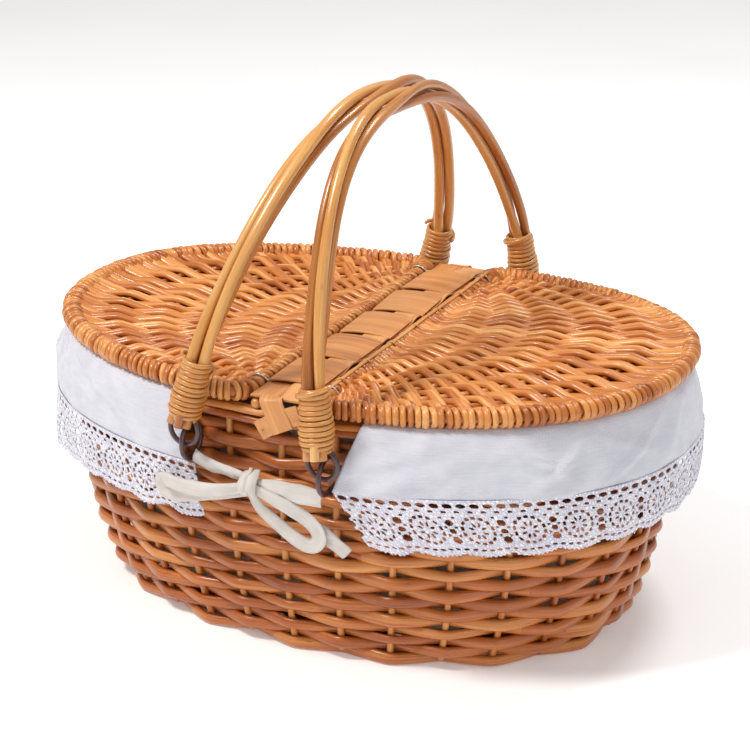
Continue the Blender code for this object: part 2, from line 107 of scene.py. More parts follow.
def resample(path, count):
    """Evenly spaced points along a polyline."""
    path = np.asarray(path, float)
    length = np.concatenate([[0.0], np.cumsum(np.linalg.norm(np.diff(path, axis=0), axis=1))])
    at = np.linspace(0.0, length[-1], count)
    return np.stack([np.interp(at, length, path[:, k]) for k in range(path.shape[1])], axis=1)


def rounded(path, times=3):
    """Corner cutting: a soft curve through a polyline, with its ends kept."""
    path = np.asarray(path, float)
    for _ in range(times):
        near = 0.75 * path[:-1] + 0.25 * path[1:]
        far = 0.25 * path[:-1] + 0.75 * path[1:]
        middle = np.stack([near, far], axis=1).reshape(-1, path.shape[1])
        path = np.concatenate([path[:1], middle, path[-1:]])
    return path


def ripple(seed, u, v, waves, u_rate, v_rate):
    """A smooth field from about -1 to 1: a few seeded waves over two coordinates."""
    dice = np.random.default_rng(seed)
    total = 0.0
    for _ in range(waves):
        a, b = dice.uniform(-1, 1, 2)
        total = total + np.sin(TURN * (a * u_rate * u + b * v_rate * v) + dice.uniform(0, TURN))
    return total / math.sqrt(waves)


# Oval geometry, as in the CAD part.


def oval_xy(theta):
    c, s = np.cos(theta), np.sin(theta)
    power = 2.0 / OVAL_POWER
    return np.sign(c) * np.abs(c) ** power, np.sign(s) * np.abs(s) ** power


ROUND_THETA = np.linspace(-math.pi / 2, 1.5 * math.pi, 6001)
ROUND_XY = oval_xy(ROUND_THETA)
ROUND_STEPS = np.hypot(np.diff(MIDDLE_HALF[0] * ROUND_XY[0]), np.diff(MIDDLE_HALF[1] * ROUND_XY[1]))
ROUND_ARC = np.concatenate([[0.0], np.cumsum(ROUND_STEPS)])


def round_share(share):
    """Unit oval coordinates at a share of the way round, anticlockwise from the middle of the front."""
    at = np.mod(share, 1.0) * ROUND_ARC[-1]
    return oval_xy(np.interp(at, ROUND_ARC, ROUND_THETA))


def oval_front(a, b, x):
    return b * (1.0 - np.abs(x / a) ** OVAL_POWER) ** (1.0 / OVAL_POWER)


def oval_arc(a, b, start, count):
    """Points evenly spaced from the front at x = start round the +X end to the back."""
    reach = math.acos(math.copysign(abs(start / a) ** (OVAL_POWER / 2), start))
    x, y = oval_xy(np.linspace(-reach, reach, 1501))
    return resample(np.stack([a * x, b * y], axis=1), count)


def rise(x):
    along = np.maximum(np.abs(x) - HINGE_X, 0.0) / (LID_HALF[0] - HINGE_X)
    return END_RISE * along**1.5


def wall_axes(z):
    spread = 1.0 - (1.0 - np.clip(z / BORDER_TOP, 0.0, 1.0)) ** WALL_CURVE
    a = BASE_HALF[0] + (RIM_HALF[0] - BASE_HALF[0]) * spread
    b = BASE_HALF[1] + (RIM_HALF[1] - BASE_HALF[1]) * spread
    return a, b


def lifted(x, y, z):
    return stack(x, y, z + rise(x) * np.clip(z / BORDER_TOP, 0.0, 1.0) ** 2)


def wall(share, z, out):
    """Points of the basket's side at shares of the way round."""
    a, b = wall_axes(z)
    x, y = round_share(share)
    return lifted((a + out) * x, (b + out) * y, z)


def wall_normal(points):
    """Outward direction of the oval at points of the side."""
    a, b = FACING_HALF
    x, y = points[..., 0] / a, points[..., 1] / b
    power = OVAL_POWER - 1.0
    return unit(stack(np.sign(x) * np.abs(x) ** power / a, np.sign(y) * np.abs(y) ** power / b, 0.0))


def zigzag(turns):
    """A wave of straight flanks with small round tips, from -1 to 1, highest where turns is even."""
    return np.arcsin(0.985 * np.cos(math.pi * turns)) / math.asin(0.985)


def fuller(points):
    """The basket's left end is a little fuller than its right, most of all below the lace."""
    points = np.array(points, float)
    x, z = points[..., 0], points[..., 2]
    low = np.clip((0.120 - z) / 0.055, 0.0, 1.0)
    low = low * low * (3.0 - 2.0 * low)
    left = (0.32 + 0.24 * low) * np.maximum(-x - 0.06, 0.0) ** 2
    right = 0.20 * low * np.maximum(x - 0.06, 0.0) ** 2
    points[..., 0] = x - left - right
    return points


# Meshes.


def linked(name, mesh):
    made = bpy.data.objects.new(name, mesh)
    bpy.context.scene.collection.objects.link(made)
    return made


def mesh_object(name, points, quads, tris, finish, floats=None, vectors=None):
    mesh = bpy.data.meshes.new(name)
    points = np.asarray(points, np.float32)
    quads = np.asarray(quads, np.int32).reshape(-1, 4)
    tris = np.asarray(tris, np.int32).reshape(-1, 3)
    corners = np.concatenate([quads.ravel(), tris.ravel()])
    sizes = np.concatenate([np.full(len(quads), 4), np.full(len(tris), 3)])
    mesh.vertices.add(len(points))
    mesh.vertices.foreach_set("co", points.ravel())
    mesh.loops.add(len(corners))
    mesh.loops.foreach_set("vertex_index", corners)
    mesh.polygons.add(len(sizes))
    mesh.polygons.foreach_set("loop_start", np.cumsum(sizes) - sizes)
    mesh.update(calc_edges=True)
    mesh.validate()
    for key, values in (floats or {}).items():
        mesh.attributes.new(key, "FLOAT", "POINT").data.foreach_set("value", np.asarray(values, np.float32))
    for key, values in (vectors or {}).items():
        field = mesh.attributes.new(key, "FLOAT_VECTOR", "POINT")
        field.data.foreach_set("vector", np.asarray(values, np.float32).ravel())
    mesh.materials.append(finish)
    mesh.shade_smooth()
    mesh.set_sharp_from_angle(angle=math.radians(55))
    return linked(name, mesh)


class Strands:
    """Rods, canes and bands gathered into one mesh. Each has its own shade, and its own grain that
    runs along it: (metres along, metres round, a number of its own)."""

    def __init__(self, seed):
        self.dice = np.random.default_rng(seed)
        self.points, self.quads, self.tris, self.shades, self.grains = [], [], [], [], []
        self.count = 0

    def add(self, path, outward, wide, high, shade=None, sides=8, closed=False, flat=1.0, blunt=False):
        """A tube along path: wide is its half width across outward, and high its half height along it."""
        path = np.asarray(path, float)
        n = len(path)
        along = heading(path, closed)
        outward = np.broadcast_to(outward, path.shape)
        across = unit(np.cross(along, outward))
        lift = np.cross(across, along)
        wide = np.broadcast_to(wide, (n,)).astype(float)
        high = np.broadcast_to(high, (n,)).astype(float)
        if not closed and not blunt:
            path = np.concatenate([path[:1], path, path[-1:]])
            path[0] -= along[0] * min(wide[0], high[0]) * 0.5
            path[-1] += along[-1] * min(wide[-1], high[-1]) * 0.5
            across = np.concatenate([across[:1], across, across[-1:]])
            lift = np.concatenate([lift[:1], lift, lift[-1:]])
            wide = np.concatenate([wide[:1] * 0.55, wide, wide[-1:] * 0.55])
            high = np.concatenate([high[:1] * 0.55, high, high[-1:] * 0.55])
            n += 2
        phi = TURN * (np.arange(sides) + 0.5) / sides
        c = np.sign(np.cos(phi)) * np.abs(np.cos(phi)) ** flat
        s = np.sign(np.sin(phi)) * np.abs(np.sin(phi)) ** flat
        sideways = across[:, None] * (wide[:, None] * c)[..., None]
        points = path[:, None] + sideways + lift[:, None] * (high[:, None] * s)[..., None]
        length = np.concatenate([[0.0], np.cumsum(np.linalg.norm(np.diff(path, axis=0), axis=1))])
        own = self.dice.uniform(0.0, 40.0)
        grain = stack(
            length[:, None] + own,
            wide[:, None] * np.cos(phi) * 1.6 + own,
            high[:, None] * np.sin(phi) * 1.6,
        )
        rows = n if closed else n - 1
        here = (np.arange(rows) * sides)[:, None]
        after = ((np.arange(rows) + 1) % n * sides)[:, None]
        side = np.arange(sides)[None]
        beside = (side + 1) % sides
        quads = np.stack([here + side, here + beside, after + beside, after + side], axis=-1).reshape(-1, 4)
        self.quads.append(quads[:, ::-1] + self.count)
        flat_points = points.reshape(-1, 3)
        flat_grain = grain.reshape(-1, 3)
        if not closed:
            ends = np.array([self.count + n * sides, self.count + n * sides + 1])
            first = self.count + np.arange(sides)
            last = first + (n - 1) * sides
            self.tris.append(np.stack([np.roll(first, -1), first, np.full(sides, ends[0])], axis=-1)[:, ::-1])
            self.tris.append(np.stack([last, np.roll(last, -1), np.full(sides, ends[1])], axis=-1)[:, ::-1])
            flat_points = np.concatenate([flat_points, path[:1], path[-1:]])
            flat_grain = np.concatenate([flat_grain, grain[0, :1], grain[-1, :1]])
        self.points.append(flat_points)
        self.grains.append(flat_grain)
        if shade is None:
            shade = self.dice.uniform(0.0, 1.0)
        self.shades.append(np.full(len(flat_points), shade))
        self.count += len(flat_points)

    def finish(self, name, material):
        tris = np.concatenate(self.tris) if self.tris else []
        return mesh_object(
            name,
            fuller(np.concatenate(self.points)),
            np.concatenate(self.quads),
            tris,
            material,
            {"shade": np.concatenate(self.shades)},
            {"grain": np.concatenate(self.grains)},
        )


def grid_quads(rows, columns, keep=None):
    index = np.arange(rows * columns).reshape(rows, columns)
    quads = np.stack([index[:-1, :-1], index[:-1, 1:], index[1:, 1:], index[1:, :-1]], axis=-1)
    return quads.reshape(-1, 4) if keep is None else quads[keep]


def cloth_object(name, points, cloth, finish, thickness, quads=None):
    """A sheet from a grid of points, with cloth coordinates (metres across, metres down) as an attribute."""
    rows, columns = points.shape[:2]
    if quads is None:
        quads = grid_quads(rows, columns)
    used = np.unique(quads)
    renumber = np.zeros(rows * columns, np.int32)
    renumber[used] = np.arange(len(used))
    made = mesh_object(
        name,
        fuller(points.reshape(-1, 3)[used]),
        renumber[quads],
        [],
        finish,
        vectors={"cloth": cloth.reshape(-1, 3)[used]},
    )
    thicken = made.modifiers.new("thickness", "SOLIDIFY")
    thicken.thickness = thickness
    thicken.offset = 0.0
    return made


def settle(piece, body, slot, *nodes):
    """The piece moves with a body and stands for CAD nodes, which are hidden; its slot is not used."""
    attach(piece, body)
    if nodes:
        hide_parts(*nodes)
    return piece


# Materials. Colours are given as sRGB bytes.


def colour(r, g, b):
    linear = [((v / 255 + 0.055) / 1.055) ** 2.4 if v > 10 else v / 255 / 12.92 for v in (r, g, b)]
    return (*linear, 1.0)


class Finish:
    """A Principled material and a short way to wire nodes into it."""

    def __init__(self, name, **plain):
        self.material = bpy.data.materials.new(name)
        self.material.use_nodes = True
        self.tree = self.material.node_tree
        self.shader = self.tree.nodes["Principled BSDF"]
        for key, value in plain.items():
            self.shader.inputs[key.replace("_", " ")].default_value = value

    def node(self, kind, inputs=None, out=0, **settings):
        made = self.tree.nodes.new("ShaderNode" + kind)
        for key, value in settings.items():
            setattr(made, key, value)
        for key, value in (inputs or {}).items():
            self.put(made.inputs[key], value)
        return made.outputs[out]

    def put(self, socket, value):
        if isinstance(value, bpy.types.NodeSocket):
            self.tree.links.new(value, socket)
        else:
            socket.default_value = value

    def math(self, operation, a, b=0.0, clamp=False):
        return self.node("Math", {0: a, 1: b}, operation=operation, use_clamp=clamp)

    def total(self, *parts):
        """The sum of values, each times its weight."""
        level = self.math("MULTIPLY", *parts[0])
        for part in parts[1:]:
            level = self.math("ADD", level, self.math("MULTIPLY", *part))
        return level

    def attribute(self, name, out):
        return self.node("Attribute", out=out, attribute_name=name)

    def scaled(self, vector, scale, offset=(0, 0, 0)):
        return self.node("Mapping", {"Vector": vector, "Scale": scale, "Location": offset})

    def noise(self, vector, scale, detail=2.0, roughness=0.5):
        return self.node(
            "TexNoise", {"Vector": vector, "Scale": scale, "Detail": detail, "Roughness": roughness}
        )

    def ramp(self, value, stops):
        made = self.tree.nodes.new("ShaderNodeValToRGB")
        self.tree.links.new(value, made.inputs[0])
        band = made.color_ramp
        while len(band.elements) < len(stops):
            band.elements.new(0.5)
        for element, (place, tone) in zip(band.elements, stops):
            element.position = place
            element.color = tone
        return made.outputs[0]

    def mix(self, share, a, b, blend="MIX"):
        made = self.tree.nodes.new("ShaderNodeMix")
        made.data_type = "RGBA"
        made.blend_type = blend
        self.put(made.inputs[0], share)
        self.put(made.inputs[6], a)
        self.put(made.inputs[7], b)
        return made.outputs[2]

    def bump(self, height, distance, strength=1.0):
        normal = self.node("Bump", {"Height": height, "Distance": distance, "Strength": strength})
        self.tree.links.new(normal, self.shader.inputs["Normal"])

    def colour(self, socket):
        self.tree.links.new(socket, self.shader.inputs["Base Color"])

    def rough(self, value, low, high):
        spread = self.node(
            "MapRange", {"Value": value, "From Min": 0.3, "From Max": 0.7, "To Min": low, "To Max": high}
        )
        self.tree.links.new(spread, self.shader.inputs["Roughness"])

    def thread_wander(self, vector):
        """A small sideways wander, so that threads aren't ruled lines."""
        field = self.node("TexNoise", {"Vector": vector, "Scale": 130.0, "Detail": 1.0}, out=1)
        return self.scaled(field, (0.0006, 0.0006, 0.0))


def willow(name, stops, rough=(0.26, 0.46), gloss=0.35, specks=0.8, streak=0.5):
    """Varnished willow: each rod has its own shade, streaked along its length, with dark specks."""
    made = Finish(name, Coat_Weight=gloss, Coat_Roughness=0.16, Coat_IOR=1.5)
    grain = made.attribute("grain", 1)
    shade = made.attribute("shade", 2)
    fine = made.noise(made.scaled(grain, (24.0, 900.0, 900.0)), 1.0, 3.0, 0.6)
    broad = made.noise(made.scaled(grain, (16.0, 120.0, 120.0)), 1.0, 2.0)
    place = made.node("TexCoord", out=3)
    patch = made.noise(place, 14.0, 2.0)
    level = made.total((shade, 0.42), (fine, streak), (broad, 0.42), (patch, 0.34))
    level = made.math("SUBTRACT", level, 0.5 * streak + 0.09, clamp=True)
    tone = made.ramp(level, stops)
    knots = made.node("TexVoronoi", {"Vector": made.scaled(grain, (60.0, 260.0, 260.0)), "Scale": 1.0})
    near = {"Value": knots, "From Min": 0.05, "From Max": 0.14, "To Min": 1, "To Max": 0}
    dots = made.node("MapRange", near)
    rare = made.noise(made.scaled(grain, (30.0, 90.0, 90.0), (3, 7, 1)), 1.0, 1.0)
    rare = made.node("MapRange", {"Value": rare, "From Min": 0.52, "From Max": 0.60})
    dots = made.math("MULTIPLY", made.math("MULTIPLY", dots, rare), specks)
    tone = made.mix(dots, tone, colour(84, 36, 12))
    made.colour(tone)
    made.rough(broad, *rough)
    made.bump(made.total((fine, 0.5), (broad, 0.5)), 0.0006, 0.55)
    return made.material


def splint_wood():
    """Flat shaved wood with fine parallel grain along it."""
    made = Finish("splint_wood", Coat_Weight=0.12, Coat_Roughness=0.3)
    grain = made.attribute("grain", 1)
    shade = made.attribute("shade", 2)
    lines = made.noise(made.scaled(grain, (7.0, 1500.0, 1500.0)), 1.0, 4.0, 0.7)
    broad = made.noise(made.scaled(grain, (10.0, 160.0, 160.0)), 1.0, 2.0)
    level = made.total((lines, 0.5), (broad, 0.45))
    level = made.math("ADD", level, made.math("MULTIPLY", shade, 0.25), clamp=True)
    tones = (
        (0.28, colour(150, 84, 38)),
        (0.52, colour(204, 134, 74)),
        (0.72, colour(222, 160, 100)),
        (0.95, colour(238, 190, 134)),
    )
    made.colour(made.ramp(level, tones))
    made.rough(broad, 0.42, 0.6)
    made.bump(lines, 0.0004, 0.6)
    return made.material


def woven_cloth(name, tones, thread, depth, soft=0.55, sheen=0.15):
    """Plain-woven cotton: crossing threads as fine relief, with soft uneven tone and painted shade in the
    gaps between threads.
    """
    made = Finish(name, Sheen_Weight=sheen, Sheen_Roughness=0.5, Specular_IOR_Level=0.25)
    made.shader.inputs["Sheen Tint"].default_value = (1.0, 1.0, 1.0, 1.0)
    cloth = made.attribute("cloth", 1)
    wander = made.noise(cloth, 60.0, 2.0)
    vector = made.node("VectorMath", {0: cloth, 1: made.thread_wander(cloth)}, operation="ADD")
    rate = 1.0 / thread / 2.0
    rows = made.node(
        "TexWave", {"Vector": vector, "Scale": rate / 3.14, "Distortion": 0.6}, out=1, bands_direction="X"
    )
    columns = made.node(
        "TexWave", {"Vector": vector, "Scale": rate / 3.14, "Distortion": 0.6}, out=1, bands_direction="Y"
    )
    weave = made.math("MAXIMUM", rows, columns)
    slub = made.noise(made.scaled(cloth, (90.0, 900.0, 1.0)), 1.0, 3.0)
    level = made.total((wander, 0.6), (slub, 0.4))
    tone = made.ramp(level, ((0.3, tones[0]), (0.7, tones[1])))
    # The gaps between threads are mixed towards the third, darker tone: painted shade.
    shadow = made.mix(made.math("MULTIPLY", made.math("SUBTRACT", 1.0, weave), 0.16), tone, tones[2])
    made.colour(shadow)
    made.rough(wander, soft + 0.15, soft + 0.35)
    made.bump(made.total((weave, 0.6), (slub, 0.4)), depth, 0.7)
    return made.material


def crochet():
    """Cotton thread lace: looped threads as relief, cool white, with painted shade (a lavender grey) in the
    pits between loops.
    """
    made = Finish("lace", Sheen_Weight=0.2, Sheen_Roughness=0.5, Specular_IOR_Level=0.2)
    cloth = made.attribute("cloth", 1)
    loops = made.node("TexVoronoi", {"Vector": cloth, "Scale": 720.0}, feature="F1")
    knots = made.node("TexVoronoi", {"Vector": cloth, "Scale": 520.0}, feature="DISTANCE_TO_EDGE")
    patch = made.noise(cloth, 110.0, 2.0)
    pits = made.node("MapRange", {"Value": knots, "From Min": 0.0, "From Max": 0.35})
    # The pits between loops are coloured towards a lavender grey: painted shade; the patch noise is the
    # thread's own uneven tone.
    tones = ((0.1, colour(186, 182, 200)), (0.4, colour(226, 224, 236)), (0.75, colour(248, 247, 251)))
    made.colour(made.ramp(made.total((pits, 0.6), (patch, 0.4)), tones))
    made.rough(patch, 0.7, 0.95)
    made.bump(made.math("SUBTRACT", pits, made.math("MULTIPLY", loops, 0.4)), 0.0006, 0.8)
    return made.material


def coated_wire():
    """Dark plastic-coated wire, glossy, worn a little duller in patches."""
    made = Finish("dark_wire", Coat_Weight=0.5, Coat_Roughness=0.12)
    grain = made.attribute("grain", 1)
    wear = made.noise(made.scaled(grain, (120.0, 500.0, 500.0)), 1.0, 3.0)
    tones = ((0.35, colour(52, 30, 36)), (0.6, colour(84, 52, 56)), (0.8, colour(120, 84, 84)))
    made.colour(made.ramp(wear, tones))
    made.rough(wear, 0.24, 0.5)
    made.bump(wear, 0.0003, 0.4)
    return made.material


def steel():
    made = Finish("steel_wire", Metallic=1.0)
    grain = made.attribute("grain", 1)
    drawn = made.noise(made.scaled(grain, (60.0, 2500.0, 2500.0)), 1.0, 2.0)
    made.colour(made.ramp(drawn, ((0.3, colour(150, 144, 136)), (0.7, colour(214, 208, 200)))))
    made.rough(drawn, 0.25, 0.45)
    made.bump(drawn, 0.0001, 0.4)
    return made.material


BODY_TONES = (
    (0.00, colour(84, 32, 6)),
    (0.26, colour(140, 64, 14)),
    (0.50, colour(184, 98, 32)),
    (0.70, colour(216, 144, 72)),
    (1.00, colour(246, 206, 150)),
)
LID_TONES = (
    (0.00, colour(112, 50, 12)),
    (0.26, colour(172, 92, 30)),
    (0.50, colour(206, 128, 56)),
    (0.74, colour(226, 160, 90)),
    (1.00, colour(246, 208, 150)),
)
CANE_TONES = (
    (0.00, colour(104, 52, 14)),
    (0.26, colour(168, 98, 34)),
    (0.50, colour(200, 132, 60)),
    (0.76, colour(222, 166, 94)),
    (1.00, colour(248, 214, 156)),
)
BODY_WILLOW = willow("willow_body", BODY_TONES)
LID_WILLOW = willow("willow_lid", LID_TONES, rough=(0.28, 0.5))
CANE = willow("willow_light", CANE_TONES, rough=(0.24, 0.42), gloss=0.5, specks=0.8)
SPLINT_WOOD = splint_wood()
# Each cloth has two tones of its own and a third, darker one that is painted shade between its threads.
COTTON = woven_cloth(
    "cotton", (colour(206, 206, 216), colour(226, 226, 234), colour(150, 148, 166)), 0.00045, 0.00045
)
# The lining is the same white cotton as the flaps, toned greyer and browner: painted shade, so it reads dark
# where it shows through the weave.
SHADED_LINING = woven_cloth(
    "cotton_lining_painted_shade", (colour(176, 168, 160), colour(206, 198, 190), colour(120, 110, 104)), 0.00045, 0.00035
)
RIBBON = woven_cloth(
    "ribbon", (colour(206, 199, 192), colour(226, 220, 214), colour(164, 152, 142)), 0.00035, 0.0003
)
LACE = crochet()
DARK_WIRE = coated_wire()
STEEL = steel()


# Side of the basket: upright stakes, and single thick rods woven round them.

STAKES = 30
STAKE_RADIUS = 0.0021
WEAVE_MIDDLE = -0.0052
WEAVE_REACH = 0.0036
ROW_PITCH = 0.0068
FIRST_ROW = 0.0045
ROWS = 21
ROD_SPAN = 10
SIDE_ROD_HALF = (0.0037, 0.0024)
FLOOR_MIDDLE = 0.0044
FLOOR_PITCH = 0.0056
FLOOR_RIB_STEP = 0.030
BORDER_LANES = (
    (-0.0016, 0.1500, 0.0026),
    (-0.0018, 0.1546, 0.0024),
    (-0.0060, 0.1542, 0.0025),
    (-0.0066, 0.1500, 0.0024),
)


def side_rods():
    made = Strands(11)
    dice = np.random.default_rng(12)
    for row in range(ROWS):
        first = 2 * int(dice.integers(0, STAKES // 2)) + row + 1
        wander = dice.normal(0.0, 0.00055, 2 * STAKES + 40)
        fat = dice.normal(1.02, 0.11, 2 * STAKES + 40)
        row_shade = dice.uniform(0.2, 0.8)
        for rod in range(STAKES // ROD_SPAN):
            start = first + rod * ROD_SPAN
            at = np.arange(start - 0.45, start + ROD_SPAN + 0.45, 0.1)
            swing = zigzag(at - row)
            within = (at - start) / ROD_SPAN
            size = (1.10 - 0.24 * within) * np.interp(at, np.arange(len(fat)), fat)
            z = FIRST_ROW + ROW_PITCH * row + np.interp(at, np.arange(len(wander)), wander)
            tuck = np.where(within > 0.5, 0.0, -0.0012 * np.clip(1.0 - 8.0 * within, 0.0, 1.0))
            out = WEAVE_MIDDLE + WEAVE_REACH * swing + tuck
            path = wall(at / STAKES, np.maximum(z, 0.0034), out)
            shade = np.clip(0.5 * row_shade + 0.5 * dice.uniform(0, 1), 0, 1)
            wide, thick = SIDE_ROD_HALF
            made.add(path, wall_normal(path), wide * size, thick * size, shade, sides=10)
    return made.finish("side_rods", BODY_WILLOW)


def side_stakes():
    made = Strands(13)
    for stake in range(STAKES):
        z = np.linspace(0.0045, 0.1500, 24)
        lean = made.dice.normal(0.0, 0.012)
        share = (stake + lean * (z / 0.15 - 0.5)) / STAKES
        path = wall(share, z, WEAVE_MIDDLE)
        made.add(path, wall_normal(path), STAKE_RADIUS, STAKE_RADIUS, sides=10)
    return made.finish("side_stakes", BODY_WILLOW)


def base_weave():
    """The floor: rods along the basket over ribs that cross it, inside one thick rim rod."""
    made = Strands(14)
    a, b = BASE_HALF[0] - 0.011, BASE_HALF[1] - 0.011
    for x in np.arange(-0.150, 0.1501, FLOOR_RIB_STEP):
        reach = float(oval_front(a, b, x)) if abs(x) < a else 0.0
        y = np.linspace(-reach, reach, 20)
        made.add(stack(x, y, FLOOR_MIDDLE), Z, 0.0018, 0.0014, sides=8)
    count = int(2 * b / FLOOR_PITCH)
    for number in range(count):
        y = (number - (count - 1) / 2) * FLOOR_PITCH
        reach = a * (1.0 - abs(y / b) ** OVAL_POWER) ** (1.0 / OVAL_POWER)
        x = np.linspace(-reach, reach, max(int(reach / 0.002), 12))
        z = FLOOR_MIDDLE + 0.0013 * np.cos(math.pi * (x / FLOOR_RIB_STEP + number))
        made.add(stack(x, y, z), Z, 0.0027, 0.0019, sides=8)
    share = np.linspace(0, 1, 120, endpoint=False)
    path = wall(share, 0.0052, -0.0105)
    made.add(path, Z, 0.0026, 0.0030, sides=10, closed=True)
    return made.finish("base_weave", BODY_WILLOW)


def border_rods():
    """Long rods laid round the top edge, bent in and out between the stake ends."""
    made = Strands(15)
    for lane, (out, z, radius) in enumerate(BORDER_LANES):
        for piece in range(4):
            start = piece / 4 + 0.045 * lane + 0.06
            share = np.linspace(start - 0.012, start + 0.262, 90)
            drift = 0.0006 * np.sin(TURN * (share * 9 + 0.3 * lane)) + 0.0004 * np.sin(TURN * share * 23)
            ends = np.clip(np.minimum(share - share[0], share[-1] - share) / 0.012, 0.0, 1.0)
            size = radius * (1.05 - 0.2 * np.linspace(0, 1, 90)) * (0.7 + 0.3 * ends)
            path = wall(share, z + drift, out - 0.0012 * (1.0 - ends) + 0.5 * drift)
            made.add(path, wall_normal(path), size, size * 0.92, sides=10)
    return made.finish("border_rods", BODY_WILLOW)


settle(side_rods(), "basket", "willow", "side_wall")
settle(side_stakes(), "basket", "willow")
settle(base_weave(), "basket", "willow", "base")
settle(border_rods(), "basket", "willow", "rim_border")


# Cloth liner: a bag inside, flaps folded out over the border at both ends, and lace along their hems.

LINER_LEVELS = ((-0.0118, 0.1535), (-0.0140, 0.134), (-0.0180, 0.100), (-0.0190, 0.050), (-0.0190, 0.022))
LINER_FLOOR = 0.0106


def liner_bag():
    """The bag: down the inside of the wall, round a soft corner and across the floor."""
    columns = 300
    share = np.linspace(0.0, 1.0, columns)
    levels = rounded(LINER_LEVELS + ((-0.028, LINER_FLOOR),), 3)
    rows = []
    for out, z in levels:
        depth = np.clip((0.150 - z) / 0.15, 0, 1)
        fold = ripple(31, 3 * np.sin(TURN * share), 3 * np.cos(TURN * share), 6, 1.6, 1.6)
        fold = 0.0011 * (0.4 + depth) * fold
        rows.append(wall(share, z, out - 0.0011 * depth + np.minimum(fold, 0.0004)))
    edge = rows[-1]
    for shrink in (0.94, 0.86, 0.76, 0.64, 0.50, 0.34, 0.17, 0.02):
        ring = edge * (shrink, shrink, 1.0)
        ring[:, 2] = LINER_FLOOR + 0.0005 * (1.0 + ripple(32, ring[:, 0], ring[:, 1], 5, 22, 22))
        rows.append(ring)
    points = np.stack(rows)
    across = np.linalg.norm(np.diff(points[0], axis=0), axis=1).sum()
    down = np.concatenate([[0.0], np.cumsum(np.linalg.norm(np.diff(points[:, 0], axis=0), axis=1))])
    cloth = np.zeros_like(points)
    cloth[..., 0] = share[None] * across
    cloth[..., 1] = down[:, None]
    floor_rows = len(levels)
    cloth[floor_rows:, :, 0] = points[floor_rows:, :, 0]
    cloth[floor_rows:, :, 1] = points[floor_rows:, :, 1]
    return cloth_object("liner_bag_cloth", points, cloth, SHADED_LINING, 0.0008)


FLAP_PROFILE = (
    (-0.0104, 0.1490),
    (-0.0104, 0.1570),
    (-0.0060, 0.1586),
    (-0.0010, 0.1584),
    (0.0028, 0.1560),
    (0.0050, 0.1480),
    (0.0078, 0.1360),
    (0.0112, FLAP_BOTTOM),
)
FLAP_TOP = 0.1576
FLAP_LENGTH = 0.46
FLAP_EDGES = {"left": (0.059, 0.0566), "right": (0.053, 0.0400)}
LACE_EDGES = {"left": (0.0495, 0.0425), "right": (0.0400, 0.064)}


def end_row(side, out, z, edge, count):
    """A row of cloth round one end of the basket, from its front edge to its back edge."""
    a, b = wall_axes(z)
    sign = SIDES[side]
    places = oval_arc(a + out, b + out, edge, count)
    if side == "left":
        places = places * (1, -1)
    return lifted(sign * places[:, 0], places[:, 1], z)


def creases(seed, u, v, count):
    """Soft ridges lying slantwise over the cloth, each with its own place, length and height."""
    dice = np.random.default_rng(seed)
    total = np.zeros_like(u)
    for _ in range(count):
        at_u, at_v = dice.uniform(0.0, FLAP_LENGTH), dice.uniform(0.004, 0.040)
        angle = dice.choice((-1, 1)) * dice.uniform(0.15, 0.75)
        long, wide = dice.uniform(0.016, 0.042), dice.uniform(0.0026, 0.0062)
        along = (u - at_u) * math.cos(angle) + (v - at_v) * math.sin(angle)
        across = -(u - at_u) * math.sin(angle) + (v - at_v) * math.cos(angle)
        total = total + dice.uniform(0.4, 1.0) * np.exp(-((along / long) ** 2) - (across / wide) ** 2)
    return total


def flap(side):
    columns = 340
    profile = resample(rounded(FLAP_PROFILE, 3), 44)
    top, bottom = FLAP_EDGES[side]
    seed = 41 if side == "left" else 47
    rows = []
    down = np.concatenate([[0.0], np.cumsum(np.hypot(*np.diff(profile, axis=0).T))])
    for out, z in profile:
        fall = np.clip((FLAP_TOP - z) / (FLAP_TOP - FLAP_BOTTOM), 0, 1) if out > 0.001 else 0.0
        edge = top + (bottom - top) * fall
        row = end_row(side, out, z, edge, columns)
        u = np.linspace(0.0, FLAP_LENGTH, columns)
        fold = ripple(seed, u, z, 5, 14, 10) + 0.6 * ripple(seed + 1, u, z, 5, 34, 26)
        ridge = creases(seed + 2, u, FLAP_TOP - z, 40)
        push = 0.0007 * fold * fall + 0.0026 * ridge * math.sin(math.pi * min(fall, 1.0)) ** 0.6
        row = row + wall_normal(row) * np.maximum(push, -0.0004)[:, None]
        rows.append(row)
    points = np.stack(rows)
    cloth = np.zeros_like(points)
    cloth[..., 0] = np.linspace(0.0, FLAP_LENGTH, columns)[None]
    cloth[..., 1] = down[:, None]
    return cloth_object(f"liner_flap_{side}_cloth", points, cloth, COTTON, 0.0009)


LACE_DEPTH = 33.0
LACE_REPEAT = 28.0


